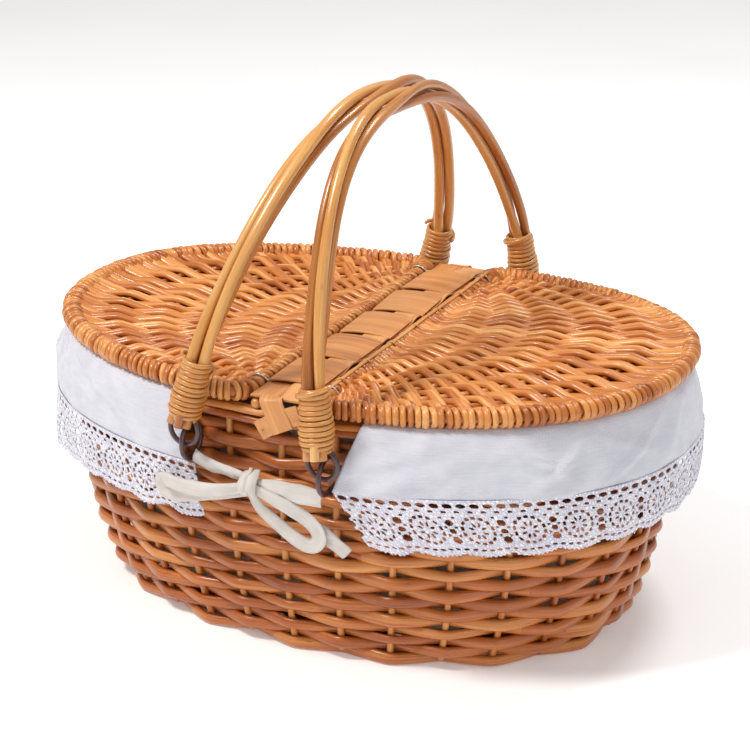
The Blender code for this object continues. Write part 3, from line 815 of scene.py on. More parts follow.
def lace_pattern(s, v):
    """How far a point of the lace is from its holes and edge, in millimetres: negative is open."""
    q = np.mod(s, LACE_REPEAT)
    field = np.full(s.shape, 9.0)
    half = LACE_REPEAT / 2
    heart = 17.2

    def hole(centre_s, centre_v, wide, tall, turn=0.0):
        nonlocal field
        ds = np.mod(q - centre_s + half, LACE_REPEAT) - half
        dv = v - centre_v
        c, sn = math.cos(turn), math.sin(turn)
        x, y = ds * c + dv * sn, -ds * sn + dv * c
        field = np.minimum(field, (np.hypot(x / wide, y / tall) - 1.0) * min(wide, tall))

    for step in range(4):
        hole(3.5 + step * 7.0, 3.0, 2.55, 1.35)
        hole(step * 7.0, 6.3, 1.5, 0.85)
    for step in range(8):
        turn = TURN * (step + 0.5) / 8
        hole(half + 3.7 * math.cos(turn), heart + 3.7 * math.sin(turn), 1.55, 0.72, turn)
    for step in range(14):
        turn = TURN * (step + 0.5) / 14
        hole(half + 8.4 * math.cos(turn), heart + 7.6 * math.sin(turn), 0.95, 1.35, turn)
    hole(0.0, 12.4, 2.3, 1.9)
    hole(0.0, 17.2, 1.9, 1.5)
    hole(0.0, 22.2, 2.5, 2.1)
    for sign in (-1, 1):
        hole(sign * 3.5, 9.5, 1.0, 0.8)
        hole(sign * 2.9, 14.8, 0.9, 0.8)
        hole(sign * 2.9, 19.6, 0.9, 0.8)
    for step in range(6):
        place = (step + 0.5) * LACE_REPEAT / 6
        hole(place, 26.9 + 1.9 * math.sin(math.pi * place / LACE_REPEAT), 1.6, 0.75)
    edge = 29.6 + 3.0 * np.abs(np.sin(math.pi * q / LACE_REPEAT)) ** 0.8 + 0.45 * np.cos(TURN * s / 2.8)
    return np.minimum(field, edge - v)


def lace(side):
    step = 0.62
    edge_top, edge_bottom = LACE_EDGES[side]
    sample = end_row(side, 0.0124, 0.105, (edge_top + edge_bottom) / 2, 400)
    length = float(np.linalg.norm(np.diff(sample, axis=0), axis=1).sum()) * 1000
    repeats = round(length / LACE_REPEAT)
    columns = int(length / step) + 1
    rows = int(LACE_DEPTH / step) + 1
    s, v = np.meshgrid(np.linspace(0, repeats * LACE_REPEAT, columns), np.linspace(0, LACE_DEPTH, rows))
    for _ in range(2):
        field = lace_pattern(s, v)
        small = 0.05
        ds = (lace_pattern(s + small, v) - lace_pattern(s - small, v)) / (2 * small)
        dv = (lace_pattern(s, v + small) - lace_pattern(s, v - small)) / (2 * small)
        size = np.maximum(ds**2 + dv**2, 0.2)
        near = np.abs(field) < 0.42 * step
        inside = np.zeros_like(near)
        inside[:, 1:-1] = True
        move = near & inside
        s = np.where(move, s - field * ds / size, s)
        v = np.where(move, np.clip(v - field * dv / size, 0.0, LACE_DEPTH), v)
    centre_s = (s[:-1, :-1] + s[1:, :-1] + s[:-1, 1:] + s[1:, 1:]) / 4
    centre_v = (v[:-1, :-1] + v[1:, :-1] + v[:-1, 1:] + v[1:, 1:]) / 4
    keep = lace_pattern(centre_s, centre_v) > 0.0
    seed = 53 if side == "left" else 59
    guide = []
    guide_v = np.linspace(0.0, LACE_DEPTH, 12)
    top = FLAP_BOTTOM + 0.0004
    for down in guide_v:
        share = down / LACE_DEPTH
        z = top - (top - LACE_BOTTOM) * share
        out = 0.0118 + 0.0012 * math.sin(math.pi * share * 0.6)
        guide.append(end_row(side, out, z, edge_top + (edge_bottom - edge_top) * share, 600))
    guide = np.stack(guide)
    along = s / (repeats * LACE_REPEAT) * 599
    below = v / LACE_DEPTH * 11
    i = np.clip(along.astype(int), 0, 598)
    j = np.clip(below.astype(int), 0, 10)
    fi, fj = (along - i)[..., None], (below - j)[..., None]
    points = (
        guide[j, i] * (1 - fi) * (1 - fj)
        + guide[j, i + 1] * fi * (1 - fj)
        + guide[j + 1, i] * (1 - fi) * fj
        + guide[j + 1, i + 1] * fi * fj
    )
    share = v / LACE_DEPTH
    wave = 0.0013 * ripple(seed, s / 1000, 0.0, 5, 34, 0)
    wave = wave + 0.0006 * ripple(seed + 1, s / 1000, v / 1000, 5, 90, 40)
    points = points + wall_normal(points) * (np.maximum(wave, -0.0006) * share)[..., None]
    cloth = stack(s / 1000, v / 1000, 0.0)
    return cloth_object(f"lace_{side}_trim", points, cloth, LACE, 0.0007, grid_quads(rows, columns, keep))


bag = settle(liner_bag(), "basket", "cotton", "liner_bag")
for side in SIDES:
    trim = settle(lace(side), "basket", "lace", f"lace_{side}")
    hung = settle(flap(side), "basket", "cotton", f"liner_flap_{side}")


# Ribbon bows at the front and the back. A route's points are x, height and distance out from the wall.


def bow_point(x, z, out):
    a, b = wall_axes(z)
    return stack(x, -oval_front(a + out, b + out, x), z)


def ribbon_path(route, count):
    """A soft path in space through points (x, z, out) in front of the wall."""
    soft = resample(rounded(route, 3), count)
    return bow_point(soft[:, 0], soft[:, 1], soft[:, 2])


def ribbon(parts, route, width, face, twist, seed, count):
    """A band of tape along a route, with its width across the path and a soft crease along it."""
    path = ribbon_path(route, count)
    along = heading(path)
    outward = wall_normal(path)
    across = unit(np.cross(along, outward))
    lift = np.cross(across, along)
    t = np.linspace(0.0, 1.0, count)
    angle = twist * np.sin(math.pi * t)
    half = np.interp(t, np.linspace(0, 1, len(width)), width) / 2
    columns = 7
    rows = []
    for place in np.linspace(-1, 1, columns):
        crease = 0.0007 * math.cos(place * 2.2) + 0.0005 * ripple(seed, t * 3, place, 4, 1.0, 0.8)
        side_way = across * np.cos(angle)[:, None] + lift * np.sin(angle)[:, None]
        rows.append(path + side_way * (half * place)[:, None] + lift * np.reshape(crease, (-1, 1)))
    points = np.stack(rows)
    if face == "back":
        points = points * (1, -1, 1)
    length = np.concatenate([[0.0], np.cumsum(np.linalg.norm(np.diff(path, axis=0), axis=1))])
    cloth = np.zeros_like(points)
    cloth[..., 0] = length[None] + seed
    cloth[..., 1] = np.linspace(-0.0045, 0.0045, columns)[:, None]
    parts.append((points, cloth))


def ribbon_object(name, parts):
    """Several bands in one mesh, each a grid."""
    points, cloths, quads, count = [], [], [], 0
    for grid, cloth in parts:
        rows, columns = grid.shape[:2]
        points.append(grid.reshape(-1, 3))
        cloths.append(cloth.reshape(-1, 3))
        quads.append(grid_quads(rows, columns) + count)
        count += rows * columns
    made = mesh_object(
        name,
        fuller(np.concatenate(points)),
        np.concatenate(quads),
        [],
        RIBBON,
        vectors={"cloth": np.concatenate(cloths)},
    )
    thicken = made.modifiers.new("thickness", "SOLIDIFY")
    thicken.thickness = 0.0005
    thicken.offset = 0.0
    return made


def knot_route(shift):
    x, z, out = KNOT
    angle = np.linspace(-2.0, 2.0, 20)
    return stack(
        x + shift + 0.0012 * np.sin(angle),
        z + 0.0078 * np.sin(angle / 1.28),
        out - 0.0015 + 0.0052 * np.cos(angle),
    )


KNOT_WIDTHS = (0.0050, 0.0066, 0.0070, 0.0060, 0.0048)
# Each piece of the bow with the CAD nodes it stands for, and its bands: a route, the widths along it,
# how far the band turns over, and how many points it has.
BOW = (
    (
        "bow_ties_{}",
        ("bow_tie_left_{}", "bow_tie_right_{}"),
        (
            (
                (
                    (-0.0098, 0.1215, 0.0175),
                    (-0.0260, 0.1230, 0.0155),
                    (-0.0380, 0.1225, 0.0135),
                    (-0.0495, 0.1262, 0.0122),
                ),
                (0.005, 0.0075, 0.009, 0.0085),
                0.25,
                46,
            ),
            (
                (
                    (-0.0078, 0.1195, 0.0178),
                    (0.0060, 0.1185, 0.0160),
                    (0.0210, 0.1160, 0.0140),
                    (0.0345, 0.1148, 0.0135),
                ),
                (0.005, 0.009, 0.011, 0.010),
                0.35,
                46,
            ),
        ),
    ),
    (
        "bow_loops_{}",
        ("bow_loop_left_{}", "bow_loop_right_{}"),
        (
            (
                (
                    (-0.0098, 0.1175, 0.0200),
                    (-0.0280, 0.1120, 0.0235),
                    (-0.0500, 0.1100, 0.0240),
                    (-0.0640, 0.1115, 0.0228),
                    (-0.0695, 0.1095, 0.0205),
                    (-0.0695, 0.1010, 0.0185),
                    (-0.0600, 0.1000, 0.0180),
                    (-0.0380, 0.1060, 0.0178),
                    (-0.0098, 0.1140, 0.0190),
                ),
                (0.006, 0.0085, 0.0095, 0.0092, 0.0088, 0.0085, 0.0075, 0.0065, 0.005),
                0.0,
                90,
            ),
            (
                (
                    (-0.0068, 0.1145, 0.0200),
                    (-0.0040, 0.1040, 0.0160),
                    (0.0060, 0.0930, 0.0125),
                    (0.0165, 0.0845, 0.0105),
                    (0.0260, 0.0815, 0.0100),
                    (0.0318, 0.0875, 0.0105),
                    (0.0288, 0.0965, 0.0120),
                    (0.0175, 0.1060, 0.0150),
                    (-0.0058, 0.1175, 0.0195),
                ),
                (0.005, 0.0075, 0.009, 0.0095, 0.009, 0.0095, 0.0095, 0.008, 0.006),
                0.0,
                90,
            ),
        ),
    ),
    (
        "bow_tail_{}_band",
        ("bow_tail_{}",),
        (
            (
                (
                    (0.0255, 0.0965, 0.0082),
                    (0.0330, 0.0905, 0.0085),
                    (0.0400, 0.0845, 0.0080),
                    (0.0460, 0.0790, 0.0075),
                ),
                (0.006, 0.0085, 0.0085, 0.0085),
                0.2,
                46,
            ),
        ),
    ),
    (
        "bow_knot_{}_wrap",
        ("bow_knot_{}",),
        tuple((knot_route(shift), KNOT_WIDTHS, 0.0, 30) for shift in (-0.0024, 0.0024)),
    ),
)


def bow(face):
    seed = 1
    for name, nodes, bands in BOW:
        parts = []
        for route, widths, twist, count in bands:
            ribbon(parts, route, widths, face, twist, seed, count)
            seed += 1
        made = ribbon_object(name.format(face), parts)
        settle(made, "basket", "ribbon", *[node.format(face) for node in nodes])


for face in FACES:
    bow(face)


# Bridge across the middle, with its splints folded down over the border.

CROSS_COUNT = 5
CROSS_PITCH = 0.046
CROSS_WIDTH = 0.0405
CROSS_REACH = 0.0166
LONG_SPLINT_X = 0.0086
TAIL_X = -0.003
TAIL_WIDTH = 0.0140
FOLD_WIDTH = 0.0118
HINGE_WIRE = 0.0007


def splint(made, path, outward, width, thickness=0.00065, shade=None):
    made.add(path, outward, np.asarray(width) / 2, thickness, shade, sides=12, flat=0.35, blunt=True)


def bridge():
    rails = Strands(61)
    for side, sign in SIDES.items():
        y = np.linspace(-0.1325, 0.1325, 30)
        rails.add(stack(sign * RAIL_X, y, RAIL_Z), Z, 0.0032, 0.0032, sides=12)
    settle(
        rails.finish("bridge_rails", CANE), "basket", "light_willow", "bridge_rail_left", "bridge_rail_right"
    )
    long_splints = Strands(62)
    for side, sign in SIDES.items():
        y = np.linspace(-0.1335, 0.1335, 120)
        between = 0.5 - 0.5 * np.cos(TURN * y / CROSS_PITCH)
        z = 0.1655 + (0.0024 if side == "right" else 0.0) * between**3
        width = 0.0166 + 0.0003 * np.cos(y * 90.0)
        splint(long_splints, stack(sign * LONG_SPLINT_X, y, z), Z, width, shade=0.5 + 0.2 * sign)
    settle(
        long_splints.finish("bridge_long_splints", SPLINT_WOOD),
        "basket",
        "splint_wood",
        "bridge_splint_left",
        "bridge_splint_right",
    )
    cross = Strands(63)
    for number in range(CROSS_COUNT):
        y = (number - (CROSS_COUNT - 1) / 2) * CROSS_PITCH
        t = np.linspace(-1.0, 1.0, 26)
        x = CROSS_REACH * t
        z = 0.1672 + 0.0016 * (1.0 - np.abs(t) ** 2.2)
        tilt = cross.dice.normal(0.0, 0.03)
        splint(cross, stack(x, y + tilt * x, z), Z, CROSS_WIDTH, 0.0006)
    names = [f"bridge_cross_{number}" for number in range(1, CROSS_COUNT + 1)]
    settle(cross.finish("bridge_cross_splints", SPLINT_WOOD), "basket", "splint_wood", *names)
    for face, sign in FACES.items():
        tail = Strands(64 + int(sign))
        y = sign * np.array((0.1322, 0.1350, 0.1366, 0.1371, 0.1373, 0.1377))
        z = np.array((0.1662, 0.1660, 0.1640, 0.1600, 0.1560, 0.1480))
        x = TAIL_X + 0.5 * (z[0] - z)
        path = resample(rounded(stack(x, y, z), 3), 24)
        outward = np.cross(heading(path), X)
        splint(tail, path, outward * np.sign(outward[-1, 1] * sign), TAIL_WIDTH, shade=0.55)
        fold = (
            (0.0155, 0.1592, 0.0022),
            (0.0070, 0.1560, 0.0030),
            (-0.0030, 0.1502, 0.0026),
            (-0.0105, 0.1452, 0.0018),
        )
        route = resample(rounded(fold, 2), 20)
        path = bow_point(route[:, 0], route[:, 1], route[:, 2]) * (1, -sign, 1)
        splint(tail, path, wall_normal(path), FOLD_WIDTH, shade=0.8)
        head = bow_point(-0.0075, 0.1470, 0.0036)[None] * (1, -sign, 1)
        nail = np.concatenate([head, head + wall_normal(head) * 0.0006])
        tail.add(nail, X, 0.0009, 0.0009, shade=0.0, sides=10)
        made = tail.finish(f"bridge_tail_{face}_fold", SPLINT_WOOD)
        settle(made, "basket", "splint_wood", f"bridge_tail_{face}")


def belt(centre_a, radius_a, centre_b, radius_b, steps):
    """A closed path like a belt round two circles in the X-Z plane."""
    apart = math.hypot(centre_b[0] - centre_a[0], centre_b[1] - centre_a[1])
    aim = math.atan2(centre_b[1] - centre_a[1], centre_b[0] - centre_a[0])
    touch = math.acos((radius_a - radius_b) / apart)
    near = np.linspace(aim + touch, aim - touch + TURN, steps)
    far = np.linspace(aim - touch, aim + touch, steps)
    x = np.concatenate([centre_a[0] + radius_a * np.cos(near), centre_b[0] + radius_b * np.cos(far)])
    z = np.concatenate([centre_a[1] + radius_a * np.sin(near), centre_b[1] + radius_b * np.sin(far)])
    return x, z


def hinge_wires():
    made = Strands(66)
    for side, sign in SIDES.items():
        x, z = belt((sign * HINGE_X, LID_RIM_Z), 0.0051, (sign * RAIL_X, RAIL_Z), 0.0043, 14)
        for y in HINGE_LOOP_Y:
            made.add(stack(x, y, z), Y, HINGE_WIRE, HINGE_WIRE, sides=8, closed=True)
    nodes = [f"hinge_loop_{side}_{face}" for side in SIDES for face in FACES]
    return settle(made.finish("hinge_wires", STEEL), "basket", "steel_wire", *nodes)


bridge()
hinge_wires()


# Lids: strands fan out from the hinge bar over curved ribs and wrap round the rim.


def lid_outline(sign, inset, start, count):
    """The lid's curve from the front corner of its hinge side round the end to the back corner."""
    a = LID_HALF[0] - inset
    b = LID_HALF[1] - inset
    shoulder = start + LID_CORNER
    arc = oval_arc(a, b, shoulder, 400)
    top = float(oval_front(a, b, shoulder))
    angle = np.linspace(0.0, math.pi / 2, 20)[:-1]
    x = np.concatenate([[start], shoulder - LID_CORNER * np.cos(angle)])
    y = np.concatenate([[top - LID_CORNER - LID_LEAD], top - LID_CORNER + LID_CORNER * np.sin(angle)])
    corner = np.stack([x, y], axis=1)
    whole = np.concatenate([corner * (1, -1), arc, corner[::-1]])
    return resample(whole, count) * (sign, 1)


# How much of its pitch a strand's half width fills: long ones, what they lose among the short ones,
# and short ones.
STRANDS = 62
RIBS = 5
LID_SWING = 0.0027
LONG_FILL = 0.60
LONG_FILL_LOSS = 0.26
SHORT_FILL = 0.345
RIM_PITCH = 0.0042
RIM_CORE = 0.0033
HINGE_WRAP_END = 0.1195


def lid_height(side, x, y):
    middle = (HINGE_X + LID_HALF[0]) / 2
    far = np.hypot((np.abs(x) - middle) / (LID_HALF[0] - middle), y / LID_HALF[1])
    return LID_RIM_Z + rise(x) + CROWN[side] * (1.0 - np.clip(far, 0, 1) ** 2)


def fan(side, share, t):
    """A point on the lid: share runs along the hinge from front to back, t from the hinge to the rim."""
    sign = SIDES[side]
    rim = lid_outline(1.0, LID_RIM_RADIUS + 0.001, HINGE_X, 801)
    span = rim[-1, 1] - 0.004
    start = stack(HINGE_X, -span + 2 * span * share)
    at = np.clip(share, 0, 1) * 800
    low = np.clip(at.astype(int), 0, 799)
    part = (at - low)[..., None]
    end = rim[low] * (1 - part) + rim[low + 1] * part
    gap = np.linalg.norm(end - start, axis=-1, keepdims=True)
    leave = np.array((1.0, 0.0)) * gap * 0.9
    arrive = end - start
    t = np.asarray(t)[..., None]
    h00 = 2 * t**3 - 3 * t**2 + 1
    h10 = t**3 - 2 * t**2 + t
    h01 = -2 * t**3 + 3 * t**2
    h11 = t**3 - t**2
    flat = h00 * start + h10 * leave + h01 * end + h11 * arrive
    return flat * (sign, 1.0)


def lid_strands(side):
    """Long strands from the hinge to the rim, and short ones paired with them in the outer half."""
    made = Strands(71 if side == "left" else 72)
    dice = np.random.default_rng(73 if side == "left" else 74)
    for number in range(2 * STRANDS - 1):
        short = number % 2 == 1
        first = dice.uniform(0.36, 0.52) if short else 0.0
        rest = np.linspace(first, 1.0, 46 if short else 72)
        place = (number / 2 + 0.5 + dice.normal(0.0, 0.04)) / STRANDS
        pair = -0.05 if short else 0.05 * np.clip(rest - 0.5, 0, 1)
        share = place + (pair * rest + dice.normal(0, 0.06) * rest) / STRANDS
        share = np.clip(share, 0.004, 0.996)
        xy = fan(side, share, rest)
        near = fan(side, np.clip(share + 0.5 / STRANDS, 0, 1), rest)
        far = fan(side, np.clip(share - 0.5 / STRANDS, 0, 1), rest)
        along = heading(xy)
        apart = near - far
        pitch = np.abs(apart[:, 0] * along[:, 1] - apart[:, 1] * along[:, 0])
        crowd = np.clip((rest - 0.40) / 0.14, 0.0, 1.0)
        fill = LONG_FILL - LONG_FILL_LOSS * crowd
        if short:
            fill = SHORT_FILL * np.clip((rest - first) / 0.08, 0.3, 1.0)
        length = float(np.linalg.norm(np.diff(xy, axis=0), axis=1).sum())
        phase = rest * (RIBS + 1) + number // 2
        swing = -zigzag(phase)
        soft = np.clip(np.minimum(rest, 1.0 - rest) * 7.0, 0.0, 1.0)
        ends = 0.0030 * np.clip((rest - 0.93) / 0.07, 0, 1) ** 1.5
        start = 0.0030 * np.clip((0.05 - rest) / 0.05, 0, 1)
        sink = -0.0012 * np.clip(1.0 - (rest - first) / 0.05, 0, 1) if short else 0.0
        reach = LID_SWING * min(1.0, length / (0.05 if short else 0.08))
        z = lid_height(side, xy[:, 0], xy[:, 1]) + reach * swing * soft + ends + start + sink
        z = z + 0.0004 * ripple(200 + number, rest, 0.0, 3, 3, 0)
        wide = np.clip(pitch * fill * dice.normal(1.0, 0.07), 0.0009, 0.0030)
        path = stack(xy[:, 0], xy[:, 1], z)
        made.add(path, Z, wide, np.minimum(0.0020, wide * 0.95 + 0.0001), sides=10)
    return made.finish(f"lid_{side}_strands", LID_WILLOW)


def lid_ribs(side):
    made = Strands(75)
    for number in range(RIBS):
        t = (number + 1) / (RIBS + 1)
        share = np.linspace(0.03, 0.97, 90)
        xy = fan(side, share, np.full(90, t))
        z = lid_height(side, xy[:, 0], xy[:, 1]) - 0.0004
        made.add(stack(xy[:, 0], xy[:, 1], z), Z, 0.0018, 0.0015, sides=8)
    return made.finish(f"lid_{side}_ribs", LID_WILLOW)


def wrap(made, line, core, pitch, wide, thick, normal=Z, shade=None):
    """Turns of cane round a line, one closed band after another, each a little slanted."""
    dice = made.dice
    length = float(np.linalg.norm(np.diff(line, axis=0), axis=1).sum())
    count = max(int(length / pitch), 2)
    line = resample(line, 12 * count + 1)
    along = heading(line)
    phi = np.linspace(0.0, TURN, 20, endpoint=False)
    for number in range(count):
        at = int(12 * (number + 0.5))
        slant = dice.normal(1.0, 0.3) * pitch * 0.42
        t = along[at]
        across = unit(np.cross(t, normal))
        up = np.cross(across, t)
        wobble = 1.0 + 0.03 * np.sin(phi * 2 + dice.uniform(0, TURN))
        radius = (core + thick * dice.uniform(0.75, 1.15)) * wobble
        ring = across * (radius * np.cos(phi))[:, None] + up * (radius * np.sin(phi))[:, None]
        path = line[at] + ring + t * (slant * np.cos(phi))[:, None]
        outward = unit(ring)
        own = pitch / 2 * wide * dice.uniform(0.86, 1.08)
        made.add(path, outward, own, thick, shade, sides=8, closed=True)


def lid_rim(side):
    sign = SIDES[side]
    made = Strands(81 if side == "left" else 82)
    outline = lid_outline(sign, LID_RIM_RADIUS, HINGE_X, 500)
    line = stack(outline[:, 0], outline[:, 1], LID_RIM_Z + rise(outline[:, 0]))
    # The core rod is given the darkest shade, so the gaps between the turns of cane read dark: painted shade.
    made.add(line[4:-4], Z, 0.0036, 0.0036, shade=0.1, sides=10)
    wrap(made, line, RIM_CORE, RIM_PITCH, 0.93, 0.0015)
    return made.finish(f"lid_{side}_rim_wrap", LID_WILLOW)


def lid_hinge(side):
    """The bar, wrapped by the strands' starts; on the right lid a thin pale cane lies along it."""
    sign = SIDES[side]
    made = Strands(83 if side == "left" else 84)
    end = HINGE_WRAP_END
    y = np.linspace(-end, end, 120)
    line = stack(sign * HINGE_X, y, LID_RIM_Z)
    # The bar is given a dark shade, so the gaps between the wraps read dark: painted shade.
    made.add(line, Z, 0.0028, 0.0028, shade=0.2, sides=10)
    near, far = HINGE_LOOP_Y
    cuts = (-end, near - 0.0016, near + 0.0016, far - 0.0016, far + 0.0016, end)
    for start, stop in zip(cuts[::2], cuts[1::2]):
        part = stack(sign * HINGE_X, np.linspace(start, stop, 60), LID_RIM_Z)
        wrap(made, part, 0.0026, 0.0046 if side == "left" else 0.0052, 0.84, 0.0012)
    if side == "right":
        path = stack(sign * (HINGE_X + 0.0008), y, LID_RIM_Z + 0.0052 + 0.0003 * np.sin(y * 70))
        made.add(path, Z, 0.0011, 0.0009, shade=1.0, sides=8)
        for place in np.arange(-0.10, 0.11, 0.034):
            t = np.linspace(-1, 1, 8)
            x = sign * (HINGE_X + 0.0008 + 0.0026 * t)
            z = LID_RIM_Z + 0.0062 - 0.0022 * t**2
            made.add(stack(x, place + 0.0015 * t, z), Z, 0.0010, 0.0005, shade=1.0, sides=6)
    return made.finish(f"lid_{side}_hinge_wrap", LID_WILLOW)


for side in SIDES:
    body = f"lid_{side}"
    settle(lid_strands(side), body, "willow", f"lid_{side}_panel")
    settle(lid_ribs(side), body, "willow")
    settle(lid_rim(side), body, "light_willow", f"lid_{side}_rim")
    settle(lid_hinge(side), body, "light_willow", f"lid_{side}_hinge_bar")


# Handles: three rods laid up together, bound with cane at both ends, hanging on wire rings.

HANDLE_ROD = 0.0032
HANDLE_ROD_OFFSET = 0.0042
HANDLE_ROD_START = 0.0090
BINDING_LOW = 0.0098
BINDING_HIGH = 0.0455
BINDING_TURNS = 12
BINDING_CANE = 0.00142
CUT_END_HEIGHTS = (0.0052, 0.0040, 0.0060)
CUT_END_TOP = 0.0165
RING_WIRE = 0.00155


def handle_frame(side):
    """The joint's place, its axis, and the directions out along the handle and square to its plane."""
    (front_x, front_z), (back_x, back_z), lean, _ = HANDLES[side]
    origin = np.array(((front_x + back_x) / 2, 0.0, (front_z + back_z) / 2))
    axis = unit(np.array((back_x - front_x, 2 * HANDLE_HALF_SPAN, back_z - front_z)))
    up = np.array((math.sin(lean), 0.0, math.cos(lean)))
    up = unit(up - up.dot(axis) * axis)
    return origin, axis, up, np.cross(axis, up)


def handle_line(side, count, height):
    """The arch's middle line as (across, up), from its front end over the top to its back end."""
    foot = HANDLE_HALF_SPAN - HANDLE_FOOT_LEAN * HANDLE_FOOT
    end = HANDLE_HALF_SPAN - HANDLE_FOOT_LEAN * height
    angle = np.linspace(0.0, math.pi, 600)
    c, s = np.cos(angle), np.abs(np.sin(angle))
    share = s ** (2 / HANDLE_UP_POWER)
    across = -foot * np.sign(c) * np.abs(c) ** (2 / HANDLE_ACROSS_POWER) + HANDLES[side][3] * share**2
    up = HANDLE_FOOT + (HANDLE_HEIGHT - HANDLE_FOOT) * share
    curve = np.stack([across, up], axis=1)
    return resample(np.concatenate([[(-end, height)], curve, [(end, height)]]), count)


def handle_rods(side):
    made = Strands(91 if side == "left" else 92)
    origin, axis, up, square = handle_frame(side)
    count = 220
    line = handle_line(side, count, HANDLE_ROD_START)
    along = np.gradient(line, axis=0)
    along = along / np.linalg.norm(along, axis=1, keepdims=True)
    outward = along[:, :1] * up - along[:, 1:] * axis
    t = np.linspace(0.0, 1.0, count)
    ease = t + 0.07 * np.sin(2 * TURN * t)
    for number in range(3):
        angle = TURN * (number / 3 + ease) + math.pi / 2
        wander = 0.0003 * ripple(300 + number, t, 0.0, 4, 6, 0)
        offset = HANDLE_ROD_OFFSET + wander
        centre = origin + axis * line[:, :1] + up * line[:, 1:]
        aside = square * (offset * np.cos(angle))[:, None]
        path = centre + aside + outward * (offset * np.sin(angle))[:, None]
        size = HANDLE_ROD * (1.0 + 0.06 * ripple(310 + number + (side == "left") * 7, t, 0.0, 4, 5, 0))
        made.add(path, square, size, size, sides=14)
    return made.finish(f"handle_{side}_rods", CANE)


def binding(side, face):
    """Cane wound round the handle's end: a bulging coil, a crossing turn on top and cut rod ends below."""
    sign = FACES[face]
    made = Strands(95 + (side == "left") * 2 + (face == "front"))
    origin, axis, up, square = handle_frame(side)
    base = origin + axis * (sign * HANDLE_HALF_SPAN)
    up = unit(up - sign * HANDLE_FOOT_LEAN * axis)
    beside = np.cross(up, square)
    phi = np.linspace(0.0, TURN * BINDING_TURNS, BINDING_TURNS * 18)
    share = phi / phi[-1]
    bulge = 0.0087 + 0.0009 * np.sin(math.pi * np.clip(share * 1.5, 0, 1)) - 0.0006 * share
    bulge = bulge - 0.0012 * np.clip(1.0 - share * 9.0, 0, 1)
    bulge = bulge + 0.00025 * ripple(400 + (side == "left"), share * 9, 0.0, 4, 1.0, 0)
    height = BINDING_LOW + (BINDING_HIGH - BINDING_LOW) * share
    around = square * np.cos(phi)[:, None] + beside * np.sin(phi)[:, None]
    path = base + up * height[:, None] + around * bulge[:, None]
    cane = BINDING_CANE * (1.0 + 0.08 * ripple(410, share * 6, 0.0, 4, 1.0, 0))
    made.add(path, around, cane, 0.0011, shade=0.62, sides=10)
    slant = np.linspace(0.0, TURN * 0.55, 26) + (0.0 if side == "left" else 2.6)
    climb = np.linspace(BINDING_HIGH - 0.006, BINDING_HIGH + 0.0015, 26)
    around = square * np.cos(slant)[:, None] + beside * np.sin(slant)[:, None]
    path = base + up * climb[:, None] + around * 0.0101
    made.add(path, around, 0.0015, 0.0011, shade=0.8, sides=8)
    for number in range(3):
        turn = TURN * (number + 0.25) / 3 + 0.4
        lean = square * math.cos(turn) + beside * math.sin(turn)
        if face == "front" and lean[1] > 0.3:
            lean = lean - Y * lean[1] * 0.8
        end = CUT_END_HEIGHTS[number]
        t = np.linspace(0.0, 1.0, 8)[:, None]
        spread = lean * (0.0052 + 0.0010 * t) + Y * sign * 0.0022
        path = base + up * (CUT_END_TOP + (end - CUT_END_TOP) * t) + spread
        made.add(path, X, 0.0027, 0.0027, sides=10, blunt=True)
    return made.finish(f"handle_{side}_binding_{face}_wound", CANE)


def ring(made, centre, radius, across, up):
    phi = np.linspace(0.0, TURN, 48, endpoint=False)[:, None]
    path = centre + radius * (np.cos(phi) * across + np.sin(phi) * up)
    made.add(path, unit(path - centre), RING_WIRE, RING_WIRE, sides=12, closed=True)


lower = Strands(101)
for side in SIDES:
    body = f"handle_{side}"
    settle(handle_rods(side), body, "light_willow", *[f"handle_{side}_rod_{number}" for number in (1, 2, 3)])
    upper = Strands(102)
    for face, sign in FACES.items():
        settle(binding(side, face), body, "light_willow", f"handle_{side}_binding_{face}")
        origin, axis, _, _ = handle_frame(side)
        centre = origin + sign * RING_PLANE_Y * axis
        beside = unit(np.cross(axis, Z))
        ring(upper, centre, UPPER_RING, beside, np.cross(beside, axis))
        a, b = wall_axes(centre[2] - LOWER_RING_DROP)
        out = oval_front(a, b, centre[0]) + LOWER_RING_OUT
        ring(lower, np.array((centre[0], sign * out, centre[2] - LOWER_RING_DROP)), LOWER_RING, Y, Z)
    nodes = [f"ring_upper_{side}_{face}" for face in FACES]
    settle(upper.finish(f"handle_{side}_rings", DARK_WIRE), body, "dark_wire", *nodes)
nodes = [f"ring_lower_{side}_{face}" for side in SIDES for face in FACES]
settle(lower.finish("wall_rings", DARK_WIRE), "basket", "dark_wire", *nodes)


# Floor, light and camera.


FLOOR_HALF = 12.0
FLOOR_DROP = 0.0004
FLOOR_GLOW = 0.22
SKY_STRENGTH = 0.42


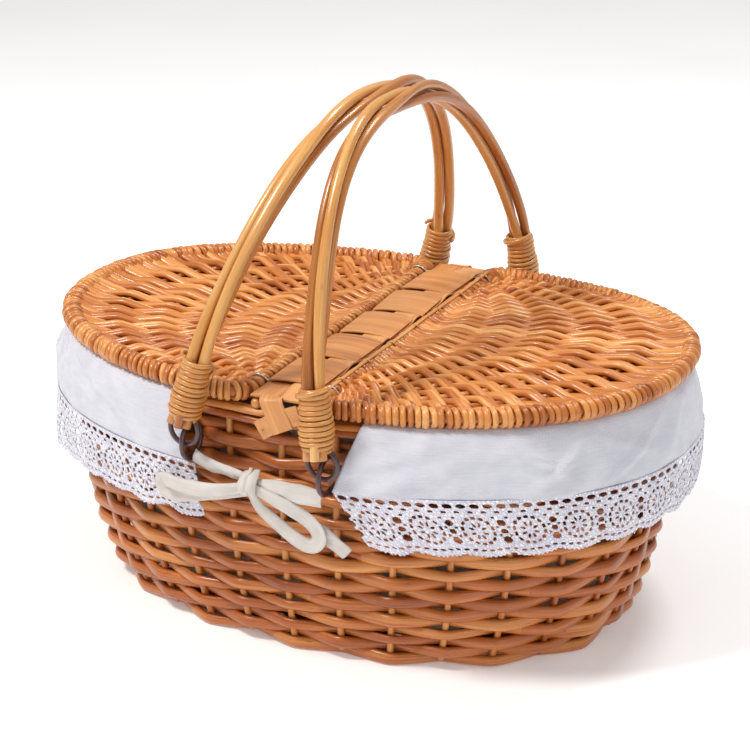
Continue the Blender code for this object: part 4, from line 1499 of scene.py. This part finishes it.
def studio_floor():
    points = [(x * FLOOR_HALF, y * FLOOR_HALF, 0.0) for x, y in ((-1, -1), (1, -1), (1, 1), (-1, 1))]
    made = Finish("studio_floor", Specular_IOR_Level=0.1, Emission_Strength=FLOOR_GLOW)
    made.shader.inputs["Emission Color"].default_value = (1.0, 1.0, 1.0, 1.0)
    place = made.node("TexCoord", out=3)
    soft = made.noise(place, 3.0, 2.0)
    made.colour(made.ramp(soft, ((0.3, colour(243, 242, 241)), (0.7, colour(248, 247, 246)))))
    made.rough(soft, 0.6, 0.75)
    floor = mesh_object("studio_floor", points, [(0, 1, 2, 3)], [], made.material)
    floor.location.z = -FLOOR_DROP


def area_light(name, place, target, size, power, tint=(1.0, 1.0, 1.0)):
    light = bpy.data.lights.new(name, "AREA")
    light.shape = "DISK"
    light.size = size
    light.energy = power
    light.color = tint
    made = linked(name, light)
    made.location = place
    made.rotation_euler = (Vector(target) - Vector(place)).to_track_quat("-Z", "Y").to_euler()


def studio():
    world = bpy.data.worlds.new("studio")
    bpy.context.scene.world = world
    world.use_nodes = True
    sky = world.node_tree.nodes["Background"]
    sky.inputs["Color"].default_value = (1.0, 1.0, 1.0, 1.0)
    sky.inputs["Strength"].default_value = SKY_STRENGTH
    middle = (0.0, 0.0, 0.12)
    area_light("key", (-0.70, -0.85, 1.75), middle, 0.45, 27.0, (1.0, 0.985, 0.96))
    area_light("fill", (1.7, -1.0, 0.9), middle, 1.2, 4.5, (0.96, 0.98, 1.0))
    area_light("top", (0.4, 0.7, 1.9), middle, 0.6, 17.0)


CAMERA_AZIMUTH = math.radians(25.48)
CAMERA_ELEVATION = math.radians(20.86)
CAMERA_DISTANCE = 1.3677
CAMERA_HEIGHT = 0.1343
CAMERA_SHIFT = -0.00164
CAMERA_LENS = 105.3216


def camera():
    across = np.array((math.cos(CAMERA_AZIMUTH), math.sin(CAMERA_AZIMUTH), 0.0))
    target = across * CAMERA_SHIFT + Z * CAMERA_HEIGHT
    flat = math.cos(CAMERA_ELEVATION)
    back = np.array(
        (math.sin(CAMERA_AZIMUTH) * flat, -math.cos(CAMERA_AZIMUTH) * flat, math.sin(CAMERA_ELEVATION))
    )
    data = bpy.data.cameras.new("camera")
    data.sensor_width = 36.0
    data.lens = CAMERA_LENS
    data.clip_start = 0.02
    data.clip_end = 60.0
    made = linked("camera", data)
    made.location = target + back * CAMERA_DISTANCE
    made.rotation_mode = "QUATERNION"
    made.rotation_quaternion = Vector(-back).to_track_quat("-Z", "Y")
    bpy.context.scene.camera = made


studio_floor()
studio()
camera()
bpy.context.scene.view_settings.view_transform = "Standard"
